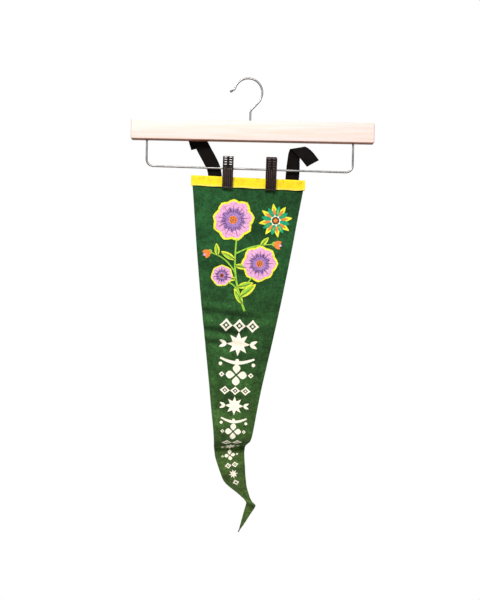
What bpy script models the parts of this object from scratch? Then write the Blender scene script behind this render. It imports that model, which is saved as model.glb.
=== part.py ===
"""Felt pennant flag, hung point down from a wooden hanger with two spring clips.

Units are metres in Blender, +Z is up, the front of the flag faces -Y and +X is to its right.
The origin is the top of the inside of the hanger's hook, where the hook bears on what holds it.
Sizes below are in millimetres and become metres through MM.
"""
import math
from collections import namedtuple

import bmesh
import bpy
from mathutils import Vector

MM = 0.001
TOUCH = 0.3              # gap left between pieces that touch
SEAM_GAP = 0.45          # gap left between two layers of cloth

# Wooden bar
BAR_LENGTH = 355.0
BAR_DEPTH = 15.0
BAR_HEIGHT = 29.4
BAR_MIDDLE_X = 7.4       # the hook stands a little left of the bar's middle
BAR_TOP_Z = -61.5
BAR_EDGE = 1.8
BAR_BOTTOM_Z = BAR_TOP_Z - BAR_HEIGHT

# Steel wire: the hook above the bar and the rail below it
WIRE_RADIUS = 1.5
SOCKET_DEPTH = 14.0
HOOK_RADIUS = 20.4
HOOK_CENTRE_Z = WIRE_RADIUS - HOOK_RADIUS
HOOK_ARC_START = -25.0
HOOK_ARC_END = 163.0
STEM_X = 3.6
NECK_LOW_Z = -46.0
NECK_TOP = (17.3, -31.0)
NECK_BENDS = (5.0, 6.0)  # bend radii where the neck leaves the stem and meets the round
HOOK_FLARE = ((-21.6, -15.6), (-25.0, -17.4))
BEAD_RADIUS = 2.2
RAIL_LEFT_X = -147.0
RAIL_RIGHT_X = 154.9
RAIL_LEFT_Z = -129.3
RAIL_RIGHT_Z = -133.4
RAIL_CORNER = 10.0

# Spring clips, measured from the rail that they ride on
CLIP_WIDTH = 15.6
CLIP_TOP = 17.0
BACK_LEVER_TALLER = 2.0
CLIP_FOOT = -30.0
LEVER_TOP_OUT = 8.6
LEVER_PIVOT_OUT = 6.3
LEVER_FOOT_OUT = 5.5
LEVER_WALL = 2.4
JAW_IN = 3.1
JAW_RISE = 14.0
JAW_SLOPE = 4.0          # height in which the jaw pad thins out to the lever's wall
EAR_WALL = 1.3
EAR_HALF_HEIGHT = 3.3
EAR_ROOT = 1.0           # how deep an ear starts inside the lever's face
EAR_PAST_RAIL = 1.2      # how far it reaches past the rail
SPRING_RADIUS = 3.2
SPRING_LENGTH = 8.6
GRIP_BAR = (4.8, 1.9)    # width and height of one raised bar of the finger grip
GRIP_ROWS = 4
GRIP_FIRST_Z = 15.3
GRIP_PITCH = 3.4
GRIP_COLUMN_X = 3.7
RIB_COUNT = 5
RIB_PITCH = 2.8
RIB_WIDTH = 1.2
RIB_TOP = -0.6
RIB_FOOT = -26.0
RAISED = 0.6

# pitch: the foot swings back about the rail. turn: the right side swings back.
Clip = namedtuple("Clip", "name x pitch turn")
CLIPS = (
    Clip("clip_left", -27.6, 0.0, 1.2),
    Clip("clip_right", 35.8, 8.0, 1.2),
)

# Felt triangle, its heading strip and its ties, as cut
FELT_LENGTH = 563.0
FELT_WIDTH = 166.0
FELT_WALL = 1.5
FELT_POINT = 1.6
FELT_FULLNESS = 2.0      # how far the stretched sides stand out of straight
FULL_TO = 300.0          # down to here
LOWER_FULLNESS = 1.0     # and again along the creased part down to the tip
LOWER_FULL_FROM = 380.0
HEADING_LENGTH = 167.4
HEADING_DROP = 12.9
HEADING_WALL = 1.1
TIE_WIDTH = 20.0
TIE_WALL = 1.0
CREASES_FROM = 345.0     # below this the felt is creased and takes closer sections
LONG_STEP = 11.0
SHORT_STEP = 3.2

# One row per section of a cloth. down: distance along the cut cloth. x, y, z: the middle of the
# section. tilt: right side lower. turn: right side further back. bow: middle forward of the sides.
Section = namedtuple("Section", "down x y z tilt turn bow")

FELT_SECTIONS = (
    Section(-6, 2.3, 0.9, -140.0, 1.3, 1.9, 0.0),
    Section(0, 2.4, 1.1, -146.0, 1.3, 2.2, 0.0),
    Section(16, 2.2, 2.2, -162.0, 1.2, 3.6, 0.3),
    Section(60, 0.2, 4.5, -206.2, 1.6, 4.0, 1.5),
    Section(110, -2.1, 3.0, -256.5, 2.0, 1.0, 2.5),
    Section(158, -4.2, 0.5, -304.9, 2.4, -1.0, 2.0),
    Section(176, -4.9, -1.8, -322.7, 2.5, -1.0, 1.5),
    Section(194, -5.6, -0.6, -340.6, 2.5, 0.0, 1.5),
    Section(240, -7.5, -1.5, -386.5, 2.5, 1.0, 2.0),
    Section(290, -9.9, -3.0, -436.3, 2.5, 1.0, 2.5),
    Section(330, -11.6, -7.5, -475.8, 2.5, 0.0, 2.5),
    Section(356, -12.2, -13.0, -501.1, 2.2, -3.0, 2.0),
    Section(372, -12.7, -15.5, -516.8, 1.0, -4.0, 1.5),
    Section(384, -13.8, -11.0, -527.8, -2.0, -4.0, 1.0),
    Section(398, -16.0, 0.5, -535.5, -6.0, -4.0, 0.5),
    Section(410, -17.2, 9.5, -541.5, -8.0, -3.0, 0.0),
    Section(419, -17.0, 6.0, -550.0, -10.5, -2.0, 0.5),
    Section(430, -15.1, -1.0, -558.6, -12.0, -2.0, 1.0),
    Section(444, -12.0, -5.0, -571.5, -13.0, -4.0, 1.0),
    Section(456, -9.3, -4.0, -583.0, -14.0, -10.0, 1.0),
    Section(470, -4.4, 0.5, -594.3, -15.0, -30.0, 1.0),
    Section(484, 0.9, 4.5, -602.9, -14.0, -42.0, 1.0),
    Section(498, 8.2, -1.5, -612.3, 4.0, -51.0, 0.5),
    Section(511, 15.0, -10.0, -618.4, 12.0, -38.0, 0.0),
    Section(519, 14.5, -4.5, -623.6, 19.0, -28.0, 0.0),
    Section(531, 10.6, 2.0, -634.0, 23.0, -16.0, 0.5),
    Section(548, 3.5, 0.0, -650.0, 24.0, -8.0, 0.3),
    Section(563, -2.2, -7.0, -660.3, 24.0, 0.0, 0.0),
)

# Both ties start behind the heading. The left one goes up behind the bar, folds there and its
# end comes down again behind it. The right one stands up, folds over forwards and flops down.
TIE_LEFT_SECTIONS = (
    Section(0, -46.3, 2.3, -156.9, 0.0, 3.2, 0.0),
    Section(13, -46.3, 2.6, -144.0, -1.0, 2.4, 0.0),
    Section(28, -48.6, 4.7, -131.0, -17.0, 0.0, 0.0),
    Section(41, -53.9, 7.0, -119.4, -27.0, 0.0, 0.6),
    Section(57, -61.8, 9.4, -105.2, -28.0, 0.0, 1.0),
    Section(72, -68.9, 10.6, -92.0, -28.0, 0.0, 0.5),
    Section(84, -74.6, 10.8, -81.4, -27.0, 0.0, 0.0),
    Section(88, -77.4, 12.6, -78.6, -25.0, 0.0, 0.0),
    Section(92, -78.6, 14.4, -81.6, -22.0, 1.0, 0.0),
    Section(102, -75.9, 14.4, -91.2, -17.5, 2.0, 0.0),
    Section(111, -73.0, 13.6, -99.8, -16.5, 2.0, -0.5),
)
TIE_RIGHT_SECTIONS = (
    Section(0, 66.4, 8.8, -158.6, 2.0, 3.4, 0.0),
    Section(13, 66.9, 6.9, -145.8, 1.0, 2.6, 0.0),
    Section(28, 67.8, 6.2, -131.2, 0.0, -12.0, 0.8),
    Section(45, 68.8, 7.4, -114.4, 0.0, -30.0, 1.5),
    Section(56, 70.6, 6.8, -103.8, -4.0, -22.0, 1.0),
    Section(62, 73.2, 3.0, -98.6, -9.0, -6.0, 0.0),
    Section(68, 77.8, -1.0, -101.4, -19.0, 0.0, 0.0),
    Section(81, 87.0, -5.2, -111.0, -33.0, 0.0, 1.5),
    Section(98, 96.0, -6.8, -122.4, -30.0, 4.0, 2.0),
)

# Colours as linear RGB, then roughness and metallic value
MATERIALS = {
    "wood": ((0.86, 0.74, 0.56), 0.55, 0.0),
    "steel": ((0.45, 0.43, 0.42), 0.35, 1.0),
    "black_plastic": ((0.012, 0.008, 0.007), 0.25, 0.0),
    "green_felt": ((0.030, 0.075, 0.025), 0.95, 0.0),
    "yellow_felt": ((0.90, 0.68, 0.05), 0.95, 0.0),
    "black_ribbon": ((0.010, 0.007, 0.006), 0.75, 0.0),
}


def clear_scene():
    for item in list(bpy.data.objects):
        bpy.data.objects.remove(item, do_unlink=True)


def new_collection(name):
    collection = bpy.data.collections.new(name)
    bpy.context.scene.collection.children.link(collection)
    return collection


def make_materials():
    """One Principled material for each finish."""
    made = {}
    for name, (colour, roughness, metallic) in MATERIALS.items():
        material = bpy.data.materials.new(name)
        material.use_nodes = True
        shader = material.node_tree.nodes["Principled BSDF"]
        shader.inputs["Base Color"].default_value = (*colour, 1.0)
        shader.inputs["Roughness"].default_value = roughness
        shader.inputs["Metallic"].default_value = metallic
        made[name] = material
    return made


def mesh_object(name, mesh, collection, material=None):
    item = bpy.data.objects.new(name, mesh)
    collection.objects.link(item)
    if material is not None:
        mesh.materials.append(material)
    return item


def bmesh_object(name, shape, collection, material=None):
    bmesh.ops.recalc_face_normals(shape, faces=shape.faces)
    mesh = bpy.data.meshes.new(name)
    shape.to_mesh(mesh)
    shape.free()
    return mesh_object(name, mesh, collection, material)


def box_object(name, low, high, collection, material=None):
    """A box between two corners, in millimetres."""
    low, high = Vector(low), Vector(high)
    shape = bmesh.new()
    bmesh.ops.create_cube(shape, size=1.0)
    bmesh.ops.scale(shape, verts=shape.verts, vec=(high - low) * MM)
    bmesh.ops.translate(shape, verts=shape.verts, vec=(low + high) / 2 * MM)
    return bmesh_object(name, shape, collection, material)


def rod_object(name, radius, start, end, collection, material=None, sides=20):
    """A cylinder between two points, in millimetres."""
    start, end = Vector(start) * MM, Vector(end) * MM
    run = end - start
    shape = bmesh.new()
    bmesh.ops.create_cone(
        shape, cap_ends=True, segments=sides, radius1=radius * MM, radius2=radius * MM, depth=run.length
    )
    bmesh.ops.rotate(shape, verts=shape.verts, matrix=run.to_track_quat("Z", "Y").to_matrix())
    bmesh.ops.translate(shape, verts=shape.verts, vec=(start + end) / 2)
    return bmesh_object(name, shape, collection, material)


def as_cutter(item):
    item.hide_render = True
    item.display_type = "WIRE"
    return item


def boolean(item, other, operation):
    modifier = item.modifiers.new(operation.lower() + "_" + other.name, "BOOLEAN")
    modifier.operation = operation
    modifier.object = other


def bevel(item, width, segments=2):
    modifier = item.modifiers.new("bevel", "BEVEL")
    modifier.width = width * MM
    modifier.segments = segments
    modifier.limit_method = "ANGLE"


def shade(item, angle=35.0):
    item.data.shade_smooth()
    item.data.set_sharp_from_angle(angle=math.radians(angle))


def fillet_path(corners, radii, steps=6):
    """Points along straight runs whose inner corners are rounded to the given radii."""
    corners = [Vector(corner) for corner in corners]
    points = [corners[0]]
    for before, corner, after, radius in zip(corners, corners[1:], corners[2:], radii):
        to_before = (before - corner).normalized()
        to_after = (after - corner).normalized()
        half = to_before.angle(to_after) / 2
        reach = radius / math.tan(half)
        centre = corner + (to_before + to_after).normalized() * radius / math.sin(half)
        start = (corner + to_before * reach - centre).normalized()
        end = (corner + to_after * reach - centre).normalized()
        for step in range(steps + 1):
            points.append(centre + start.slerp(end, step / steps) * radius)
    points.append(corners[-1])
    return points


def wire_object(name, points, collection, material):
    """A round wire along points in millimetres, with filled ends."""
    curve = bpy.data.curves.new(name, "CURVE")
    curve.dimensions = "3D"
    curve.bevel_depth = WIRE_RADIUS * MM
    curve.bevel_resolution = 2
    curve.use_fill_caps = True
    spline = curve.splines.new("POLY")
    spline.points.add(len(points) - 1)
    for spot, point in zip(spline.points, points):
        spot.co = (*(Vector(point) * MM), 1.0)
    curve.materials.append(material)
    item = bpy.data.objects.new(name, curve)
    collection.objects.link(item)
    return item


def curve_to_mesh(item, collection):
    """The curve's own tube as a closed mesh object of the same name, in place of the curve."""
    bpy.context.view_layer.update()
    evaluated = item.evaluated_get(bpy.context.evaluated_depsgraph_get())
    mesh = bpy.data.meshes.new_from_object(evaluated)
    shape = bmesh.new()
    shape.from_mesh(mesh)
    bmesh.ops.remove_doubles(shape, verts=shape.verts, dist=0.01 * MM)
    bmesh.ops.recalc_face_normals(shape, faces=shape.faces)
    shape.to_mesh(mesh)
    shape.free()
    name = item.name
    bpy.data.objects.remove(item, do_unlink=True)
    made = bpy.data.objects.new(name, mesh)
    collection.objects.link(made)
    return made


def hook_points():
    """The hook's stem, slanting neck, round and flared end, in the plane of the bar."""
    turn = math.radians(HOOK_ARC_START)
    arc_start = Vector((HOOK_RADIUS * math.cos(turn), 0, HOOK_CENTRE_Z + HOOK_RADIUS * math.sin(turn)))
    corners = (
        (STEM_X, 0, BAR_TOP_Z - SOCKET_DEPTH),
        (STEM_X, 0, NECK_LOW_Z),
        (NECK_TOP[0], 0, NECK_TOP[1]),
        arc_start,
    )
    points = fillet_path(corners, NECK_BENDS, steps=4)
    steps = 28
    for step in range(1, steps + 1):
        turn = math.radians(HOOK_ARC_START + (HOOK_ARC_END - HOOK_ARC_START) * step / steps)
        points.append(Vector((HOOK_RADIUS * math.cos(turn), 0, HOOK_CENTRE_Z + HOOK_RADIUS * math.sin(turn))))
    points += [Vector((x, 0, z)) for x, z in HOOK_FLARE]
    return points


def rail_points():
    corners = (
        (RAIL_LEFT_X, 0, BAR_BOTTOM_Z + SOCKET_DEPTH),
        (RAIL_LEFT_X, 0, RAIL_LEFT_Z),
        (RAIL_RIGHT_X, 0, RAIL_RIGHT_Z),
        (RAIL_RIGHT_X, 0, BAR_BOTTOM_Z + SOCKET_DEPTH),
    )
    return fillet_path(corners, (RAIL_CORNER, RAIL_CORNER), steps=8)


def make_hanger(parts, cutters, materials):
    """The wooden bar, drilled for its wires, and the wires themselves."""
    half = BAR_LENGTH / 2
    bar = box_object(
        "wood_bar",
        (BAR_MIDDLE_X - half, -BAR_DEPTH / 2, BAR_BOTTOM_Z),
        (BAR_MIDDLE_X + half, BAR_DEPTH / 2, BAR_TOP_Z),
        parts,
        materials["wood"],
    )
    bevel(bar, BAR_EDGE, 3)
    sockets = (
        ("hook_socket", STEM_X, BAR_TOP_Z, -1),
        ("rail_socket_left", RAIL_LEFT_X, BAR_BOTTOM_Z, 1),
        ("rail_socket_right", RAIL_RIGHT_X, BAR_BOTTOM_Z, 1),
    )
    for name, x, mouth_z, inward in sockets:
        socket = rod_object(
            name,
            WIRE_RADIUS + TOUCH,
            (x, 0, mouth_z - inward * SOCKET_DEPTH),
            (x, 0, mouth_z + inward * (SOCKET_DEPTH + TOUCH)),
            cutters,
            sides=12,
        )
        boolean(bar, as_cutter(socket), "DIFFERENCE")
    shade(bar)

    hook = curve_to_mesh(wire_object("hook_wire", hook_points(), parts, materials["steel"]), parts)
    bead_x, bead_z = HOOK_FLARE[-1]
    shape = bmesh.new()
    bmesh.ops.create_uvsphere(shape, u_segments=10, v_segments=7, radius=BEAD_RADIUS * MM)
    bmesh.ops.translate(shape, verts=shape.verts, vec=Vector((bead_x, 0, bead_z)) * MM)
    bead = as_cutter(bmesh_object("hook_bead", shape, cutters))
    boolean(hook, bead, "UNION")
    shade(hook)

    wire_object("wire_bar", rail_points(), parts, materials["steel"])


def rail_height(x):
    share = (x - RAIL_LEFT_X) / (RAIL_RIGHT_X - RAIL_LEFT_X)
    return RAIL_LEFT_Z + (RAIL_RIGHT_Z - RAIL_LEFT_Z) * share


def lever_object(name, front, collection, material):
    """One clip lever as an extruded side outline: a splayed grip, a wall and a jaw pad."""
    top = CLIP_TOP if front else CLIP_TOP + BACK_LEVER_TALLER
    outline = (
        (LEVER_TOP_OUT, top),
        (LEVER_PIVOT_OUT, 0.0),
        (LEVER_FOOT_OUT, CLIP_FOOT),
        (JAW_IN, CLIP_FOOT),
        (JAW_IN, CLIP_FOOT + JAW_RISE),
        (LEVER_PIVOT_OUT - LEVER_WALL, CLIP_FOOT + JAW_RISE + JAW_SLOPE),
        (LEVER_PIVOT_OUT - LEVER_WALL, 0.0),
        (LEVER_TOP_OUT - LEVER_WALL, top),
    )
    side = -1 if front else 1
    shape = bmesh.new()
    rim = [shape.verts.new((-CLIP_WIDTH / 2 * MM, side * out * MM, z * MM)) for out, z in outline]
    face = shape.faces.new(rim)
    grown = bmesh.ops.extrude_face_region(shape, geom=[face])
    moved = [item for item in grown["geom"] if isinstance(item, bmesh.types.BMVert)]
    bmesh.ops.translate(shape, verts=moved, vec=(CLIP_WIDTH * MM, 0, 0))
    return bmesh_object(name, shape, collection, material)


def lever_out(z):
    """How far a lever's outer face stands from the rail at a height."""
    if z > 0:
        return LEVER_PIVOT_OUT + (LEVER_TOP_OUT - LEVER_PIVOT_OUT) * z / CLIP_TOP
    return LEVER_PIVOT_OUT + (LEVER_FOOT_OUT - LEVER_PIVOT_OUT) * z / CLIP_FOOT


def add_ears(lever, name, front, cutters):
    """Two ears that carry the lever on the rail. The back lever's pair fits inside the front's."""
    side = -1 if front else 1
    outer = CLIP_WIDTH / 2 if front else CLIP_WIDTH / 2 - EAR_WALL - TOUCH
    for hand, word in ((-1, "left"), (1, "right")):
        edges = sorted((hand * outer, hand * (outer - EAR_WALL)))
        reach = sorted((side * (LEVER_PIVOT_OUT - EAR_ROOT), -side * (WIRE_RADIUS + EAR_PAST_RAIL)))
        ear = box_object(
            name + "_ear_" + word,
            (edges[0], reach[0], -EAR_HALF_HEIGHT),
            (edges[1], reach[1], EAR_HALF_HEIGHT),
            cutters,
        )
        boolean(lever, as_cutter(ear), "UNION")


def add_relief(lever, name, cutters):
    """The front lever's raised finger grip above its ribs."""
    bars = []
    for column in (-1, 1):
        for row in range(GRIP_ROWS):
            z = GRIP_FIRST_Z - row * GRIP_PITCH
            bars.append((column * GRIP_COLUMN_X, GRIP_BAR[0] / 2, z - GRIP_BAR[1] / 2, z + GRIP_BAR[1] / 2))
    for rib in range(RIB_COUNT):
        bars.append(((rib - (RIB_COUNT - 1) / 2) * RIB_PITCH, RIB_WIDTH / 2, RIB_FOOT, RIB_TOP))
    for number, (x, half, low, high) in enumerate(bars):
        out_low, out_high = lever_out(low), lever_out(high)
        shape = bmesh.new()
        bmesh.ops.create_cube(shape, size=1.0)
        for vert in shape.verts:
            top = vert.co.z > 0
            proud = RAISED if vert.co.y < 0 else -RAISED
            vert.co = Vector((
                x + math.copysign(half, vert.co.x),
                -(out_high if top else out_low) - proud,
                high if top else low,
            )) * MM
        raised = bmesh_object("%s_relief_%d" % (name, number), shape, cutters)
        boolean(lever, as_cutter(raised), "UNION")


def make_clip(clip, parts, cutters, materials):
    """A spring clip: two levers whose ears ride on the rail, with a coil between the ears."""
    plastic = materials["black_plastic"]
    front = lever_object(clip.name + "_front", True, parts, plastic)
    back = lever_object(clip.name + "_back", False, parts, plastic)
    add_ears(front, clip.name + "_front", True, cutters)
    add_ears(back, clip.name + "_back", False, cutters)
    add_relief(front, clip.name, cutters)
    reach = CLIP_WIDTH
    bore = as_cutter(rod_object(
        clip.name + "_bore", WIRE_RADIUS + TOUCH, (-reach, 0, 0), (reach, 0, 0), cutters, sides=16
    ))
    boolean(front, bore, "DIFFERENCE")
    boolean(back, bore, "DIFFERENCE")
    half = SPRING_LENGTH / 2
    spring = rod_object(
        clip.name + "_spring", SPRING_RADIUS, (-half, 0, 0), (half, 0, 0), parts, materials["steel"]
    )
    boolean(spring, bore, "DIFFERENCE")
    for piece in (front, back, spring):
        shade(piece)

    slope = math.atan2(RAIL_RIGHT_Z - RAIL_LEFT_Z, RAIL_RIGHT_X - RAIL_LEFT_X)
    holder = bpy.data.objects.new(clip.name + "_seat", None)
    parts.objects.link(holder)
    holder.location = Vector((clip.x, 0, rail_height(clip.x))) * MM
    holder.rotation_euler = (math.radians(clip.pitch), -slope, math.radians(clip.turn))
    fitted = [front, back, spring, bore]
    fitted += [m.object for piece in (front, back) for m in piece.modifiers if m.object is not bore]
    for piece in fitted:
        piece.parent = holder


def section_at(sections, down):
    """The section at a distance along the cloth, on a smooth curve through the given ones."""
    last = len(sections) - 1
    index = 0
    while index < last - 1 and down > sections[index + 1].down:
        index += 1
    start, end = sections[index], sections[index + 1]
    before = sections[max(index - 1, 0)]
    after = sections[min(index + 2, last)]
    span = end.down - start.down
    t = (down - start.down) / span
    values = [down]
    for column in range(1, len(start)):
        slope_in = (end[column] - before[column]) / (end.down - before.down) * span
        slope_out = (after[column] - start[column]) / (after.down - start.down) * span
        values.append(
            (2 * t**3 - 3 * t**2 + 1) * start[column]
            + (t**3 - 2 * t**2 + t) * slope_in
            + (3 * t**2 - 2 * t**3) * end[column]
            + (t**3 - t**2) * slope_out
        )
    return Section(*values)


def cloth_point(sections, down, across, half_width):
    """A point of a cloth's middle surface, from its place on the flat cut, in millimetres."""
    row = section_at(sections, down)
    tilt, turn = math.radians(row.tilt), math.radians(row.turn)
    side = Vector((math.cos(tilt) * math.cos(turn), math.sin(turn), -math.sin(tilt) * math.cos(turn)))
    point = Vector((row.x, row.y, row.z)) + side * across
    bowed = max(0.0, 1.0 - (across / half_width) ** 2)
    return point + Vector((0, -1, 0)) * row.bow * bowed


def cloth_normal(sections, down, across, half_width):
    """The way out of a cloth's front face."""
    step = 0.5
    along = cloth_point(sections, down + step, across, half_width)
    along = along - cloth_point(sections, down - step, across, half_width)
    sideways = cloth_point(sections, down, across + step, half_width)
    sideways = sideways - cloth_point(sections, down, across - step, half_width)
    return along.cross(sideways).normalized()


def felt_half_width(down):
    down = max(down, 0.0)
    half = FELT_WIDTH / 2 * (1.0 - down / FELT_LENGTH)
    half += FELT_FULLNESS * math.sin(math.pi * min(down / FULL_TO, 1.0))
    low_share = max(down - LOWER_FULL_FROM, 0.0) / (FELT_LENGTH - LOWER_FULL_FROM)
    half += LOWER_FULLNESS * math.sin(math.pi * low_share)
    return max(half, FELT_POINT / 2)


def sheet_object(name, points, wall, collection, material):
    """A sheet through rows of points, given its thickness by Solidify about its middle."""
    shape = bmesh.new()
    rows = [[shape.verts.new(point * MM) for point in row] for row in points]
    for upper, lower in zip(rows, rows[1:]):
        for index in range(len(upper) - 1):
            shape.faces.new((upper[index], lower[index], lower[index + 1], upper[index + 1]))
    mesh = bpy.data.meshes.new(name)
    shape.to_mesh(mesh)
    shape.free()
    mesh.shade_smooth()
    item = mesh_object(name, mesh, collection, material)
    solidify = item.modifiers.new("wall", "SOLIDIFY")
    solidify.thickness = wall * MM
    solidify.offset = 0.0
    solidify.use_even_offset = True
    return item


def steps_between(start, end, count):
    return [start + (end - start) * step / count for step in range(count + 1)]


def felt_stations():
    """Distances down the felt, close together where it is creased."""
    flat = steps_between(0.0, CREASES_FROM, round(CREASES_FROM / LONG_STEP))
    creased = steps_between(CREASES_FROM, FELT_LENGTH, round((FELT_LENGTH - CREASES_FROM) / SHORT_STEP))
    return flat + creased[1:]


def make_pennant(parts, materials):
    """The felt triangle, true to its flat cut, through its hanging folds."""
    columns = 6
    rows = []
    for down in felt_stations():
        half = felt_half_width(down)
        rows.append([
            cloth_point(FELT_SECTIONS, down, half * share, half)
            for share in steps_between(-1.0, 1.0, columns)
        ])
    sheet_object("felt_pennant", rows, FELT_WALL, parts, materials["green_felt"])


def heading_profile():
    """The heading strip's fold around the felt's top edge: distance down and distance behind."""
    away = FELT_WALL / 2 + SEAM_GAP + HEADING_WALL / 2
    profile = [(down, -away) for down in steps_between(HEADING_DROP, 0.0, 3)]
    for step in range(1, 6):
        turn = math.pi * step / 6
        profile.append((-away * math.sin(turn), -away * math.cos(turn)))
    profile += [(down, away) for down in steps_between(0.0, HEADING_DROP, 3)]
    return profile


def make_heading(parts, materials):
    """The yellow strip, folded over the wide end of the felt and a little longer than it."""
    rows = []
    for down, behind in heading_profile():
        row = []
        for across in steps_between(-HEADING_LENGTH / 2, HEADING_LENGTH / 2, 12):
            point = cloth_point(FELT_SECTIONS, down, across, FELT_WIDTH / 2)
            out = cloth_normal(FELT_SECTIONS, down, across, FELT_WIDTH / 2)
            row.append(point - out * behind)
        rows.append(row)
    sheet_object("heading_band", rows, HEADING_WALL, parts, materials["yellow_felt"])


def make_tie(name, sections, parts, materials):
    """One ribbon tie, from its sewn end behind the heading to its free end."""
    half = TIE_WIDTH / 2
    length = sections[-1].down
    rows = []
    for down in steps_between(0.0, length, round(length / 3.0)):
        rows.append([
            cloth_point(sections, down, half * share, half) for share in steps_between(-1.0, 1.0, 4)
        ])
    sheet_object(name, rows, TIE_WALL, parts, materials["black_ribbon"])


def main():
    clear_scene()
    parts = new_collection("pennant_on_clip_hanger")
    cutters = new_collection("cutters")
    materials = make_materials()
    make_hanger(parts, cutters, materials)
    for clip in CLIPS:
        make_clip(clip, parts, cutters, materials)
    make_pennant(parts, materials)
    make_heading(parts, materials)
    make_tie("tie_left", TIE_LEFT_SECTIONS, parts, materials)
    make_tie("tie_right", TIE_RIGHT_SECTIONS, parts, materials)


main()
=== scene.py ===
"""A printed felt pennant hung point down from a beech trouser hanger by two spring clips.

Metres, +Z up, the front faces -Y. Sizes are written in millimetres and go through mm() or MM.
"""
import math
import random
from collections import namedtuple

import bmesh
import bpy
from mathutils import Matrix, Vector


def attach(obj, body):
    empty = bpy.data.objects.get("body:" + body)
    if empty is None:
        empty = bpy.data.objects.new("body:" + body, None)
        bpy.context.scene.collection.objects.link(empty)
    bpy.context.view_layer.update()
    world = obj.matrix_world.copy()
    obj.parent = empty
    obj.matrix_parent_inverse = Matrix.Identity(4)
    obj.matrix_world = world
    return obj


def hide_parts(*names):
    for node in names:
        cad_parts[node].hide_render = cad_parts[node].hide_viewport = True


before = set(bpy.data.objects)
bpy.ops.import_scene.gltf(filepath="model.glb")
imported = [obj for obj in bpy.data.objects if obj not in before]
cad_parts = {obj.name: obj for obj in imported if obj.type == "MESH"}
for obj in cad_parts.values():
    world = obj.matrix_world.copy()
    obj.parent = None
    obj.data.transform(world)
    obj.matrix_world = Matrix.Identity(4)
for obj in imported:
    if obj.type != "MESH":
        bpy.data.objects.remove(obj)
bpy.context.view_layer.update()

# Camera, light and floor. A studio shot on white: the camera stands square to the flag, level with
# its middle, and a soft lamp high on the left lights it. The floor lies well below the point.
MM = 0.001
CAMERA_DISTANCE = 1.2
CAMERA_ROLL = -1.12            # the hanger's right end hangs a little low in the picture
PICTURE_CENTRE = (-0.00626, -0.323)
PICTURE_HEIGHT = 0.8784        # what the long side of the frame takes in at the flag
SENSOR = 36.0
FLOOR_Z = -1.2
FLOOR_HALF = 0.9


def srgb(code):
    """The linear colour of an sRGB hex code, as Blender's sockets take it."""
    channels = [int(code[i:i + 2], 16) / 255 for i in (1, 3, 5)]
    linear = [c / 12.92 if c <= 0.04045 else ((c + 0.055) / 1.055) ** 2.4 for c in channels]
    return (*linear, 1.0)


def socket(node, name):
    by_identifier = [s for s in node.inputs if s.identifier == name]
    return (by_identifier or [s for s in node.inputs if s.name == name])[0]


def link(node, links):
    """Feeds a node's inputs, each from a socket or from another node's first output."""
    for name, source in links.items():
        node.id_data.links.new(getattr(source, "outputs", [source])[0], socket(node, name))


def add_node(tree, kind, settings=None, links=None):
    """One node with its settings, which are properties, ramp stops or socket values, and its links."""
    node = tree.nodes.new("ShaderNode" + kind)
    for name, value in (settings or {}).items():
        if name == "stops":
            elements = node.color_ramp.elements
            for index, (place, code) in enumerate(value):
                element = elements[index] if index < 2 else elements.new(place)
                element.position = place
                element.color = srgb(code)
        elif hasattr(node, name):
            setattr(node, name, value)
        else:
            socket(node, name).default_value = value
    link(node, links or {})
    return node


def new_material(name, **sockets):
    """A Principled material whose constant values are set on the shader's own sockets."""
    material = bpy.data.materials.new(name)
    material.use_nodes = True
    tree = material.node_tree
    shader = tree.nodes["Principled BSDF"]
    for words, value in sockets.items():
        shader.inputs[words.replace("_", " ").title().replace("Ior", "IOR")].default_value = value
    return material, tree, shader


def aim(item, target):
    item.rotation_euler = (Vector(target) - item.location).to_track_quat("-Z", "Y").to_euler()


def soft_lamp(name, place, target, size, watts, code):
    bpy.ops.object.light_add(type="AREA", location=place)
    lamp = bpy.context.object
    lamp.name = name
    lamp.data.shape = "DISK"
    lamp.data.size = size
    lamp.data.energy = watts
    lamp.data.color = srgb(code)[:3]
    aim(lamp, target)


bpy.ops.object.camera_add(
    location=(PICTURE_CENTRE[0], -CAMERA_DISTANCE, PICTURE_CENTRE[1]),
    rotation=(math.radians(90), math.radians(CAMERA_ROLL), 0),
)
camera = bpy.context.object
camera.name = "photo_camera"
camera.data.sensor_width = SENSOR
camera.data.lens = SENSOR * CAMERA_DISTANCE / PICTURE_HEIGHT
camera.data.clip_start = 0.05
bpy.context.scene.camera = camera

flag_middle = (0.0, 0.0, -0.32)
soft_lamp("key_softbox", (-0.75, -1.45, 0.95), flag_middle, 0.5, 25.0, "#fffaf2")
soft_lamp("strip_softbox", (0.0, -1.45, 0.8), flag_middle, 0.5, 14.0, "#ffffff")
soft_lamp("fill_softbox", (1.3, -1.5, -0.1), flag_middle, 1.2, 6.0, "#f4f8ff")
soft_lamp("rim_softbox", (-0.5, 1.2, 0.6), flag_middle, 0.8, 16.0, "#ffffff")

# The backdrop is plain white to the camera, but lights the object only gently, more from above.
world = bpy.data.worlds.new("studio_white")
world.use_nodes = True
bpy.context.scene.world = world
sky = world.node_tree
sky.nodes.clear()
direction = add_node(sky, "TexCoord")
height = add_node(sky, "SeparateXYZ", links={"Vector": direction.outputs["Generated"]})
lift = add_node(
    sky, "MapRange", {"From Min": -1.0, "From Max": 1.0, "To Min": 0.14, "To Max": 0.5},
    {"Value": height.outputs["Z"]},
)
room = add_node(sky, "Background", {"Color": srgb("#fbfaf7")}, {"Strength": lift})
white = add_node(sky, "Background", {"Color": srgb("#ffffff"), "Strength": 1.0})
path = add_node(sky, "LightPath")
seen = {"Fac": path.outputs["Is Camera Ray"], "Shader": room, "Shader_001": white}
either = add_node(sky, "MixShader", links=seen)
add_node(sky, "OutputWorld", links={"Surface": either})
bpy.context.scene.view_settings.view_transform = "Standard"

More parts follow.
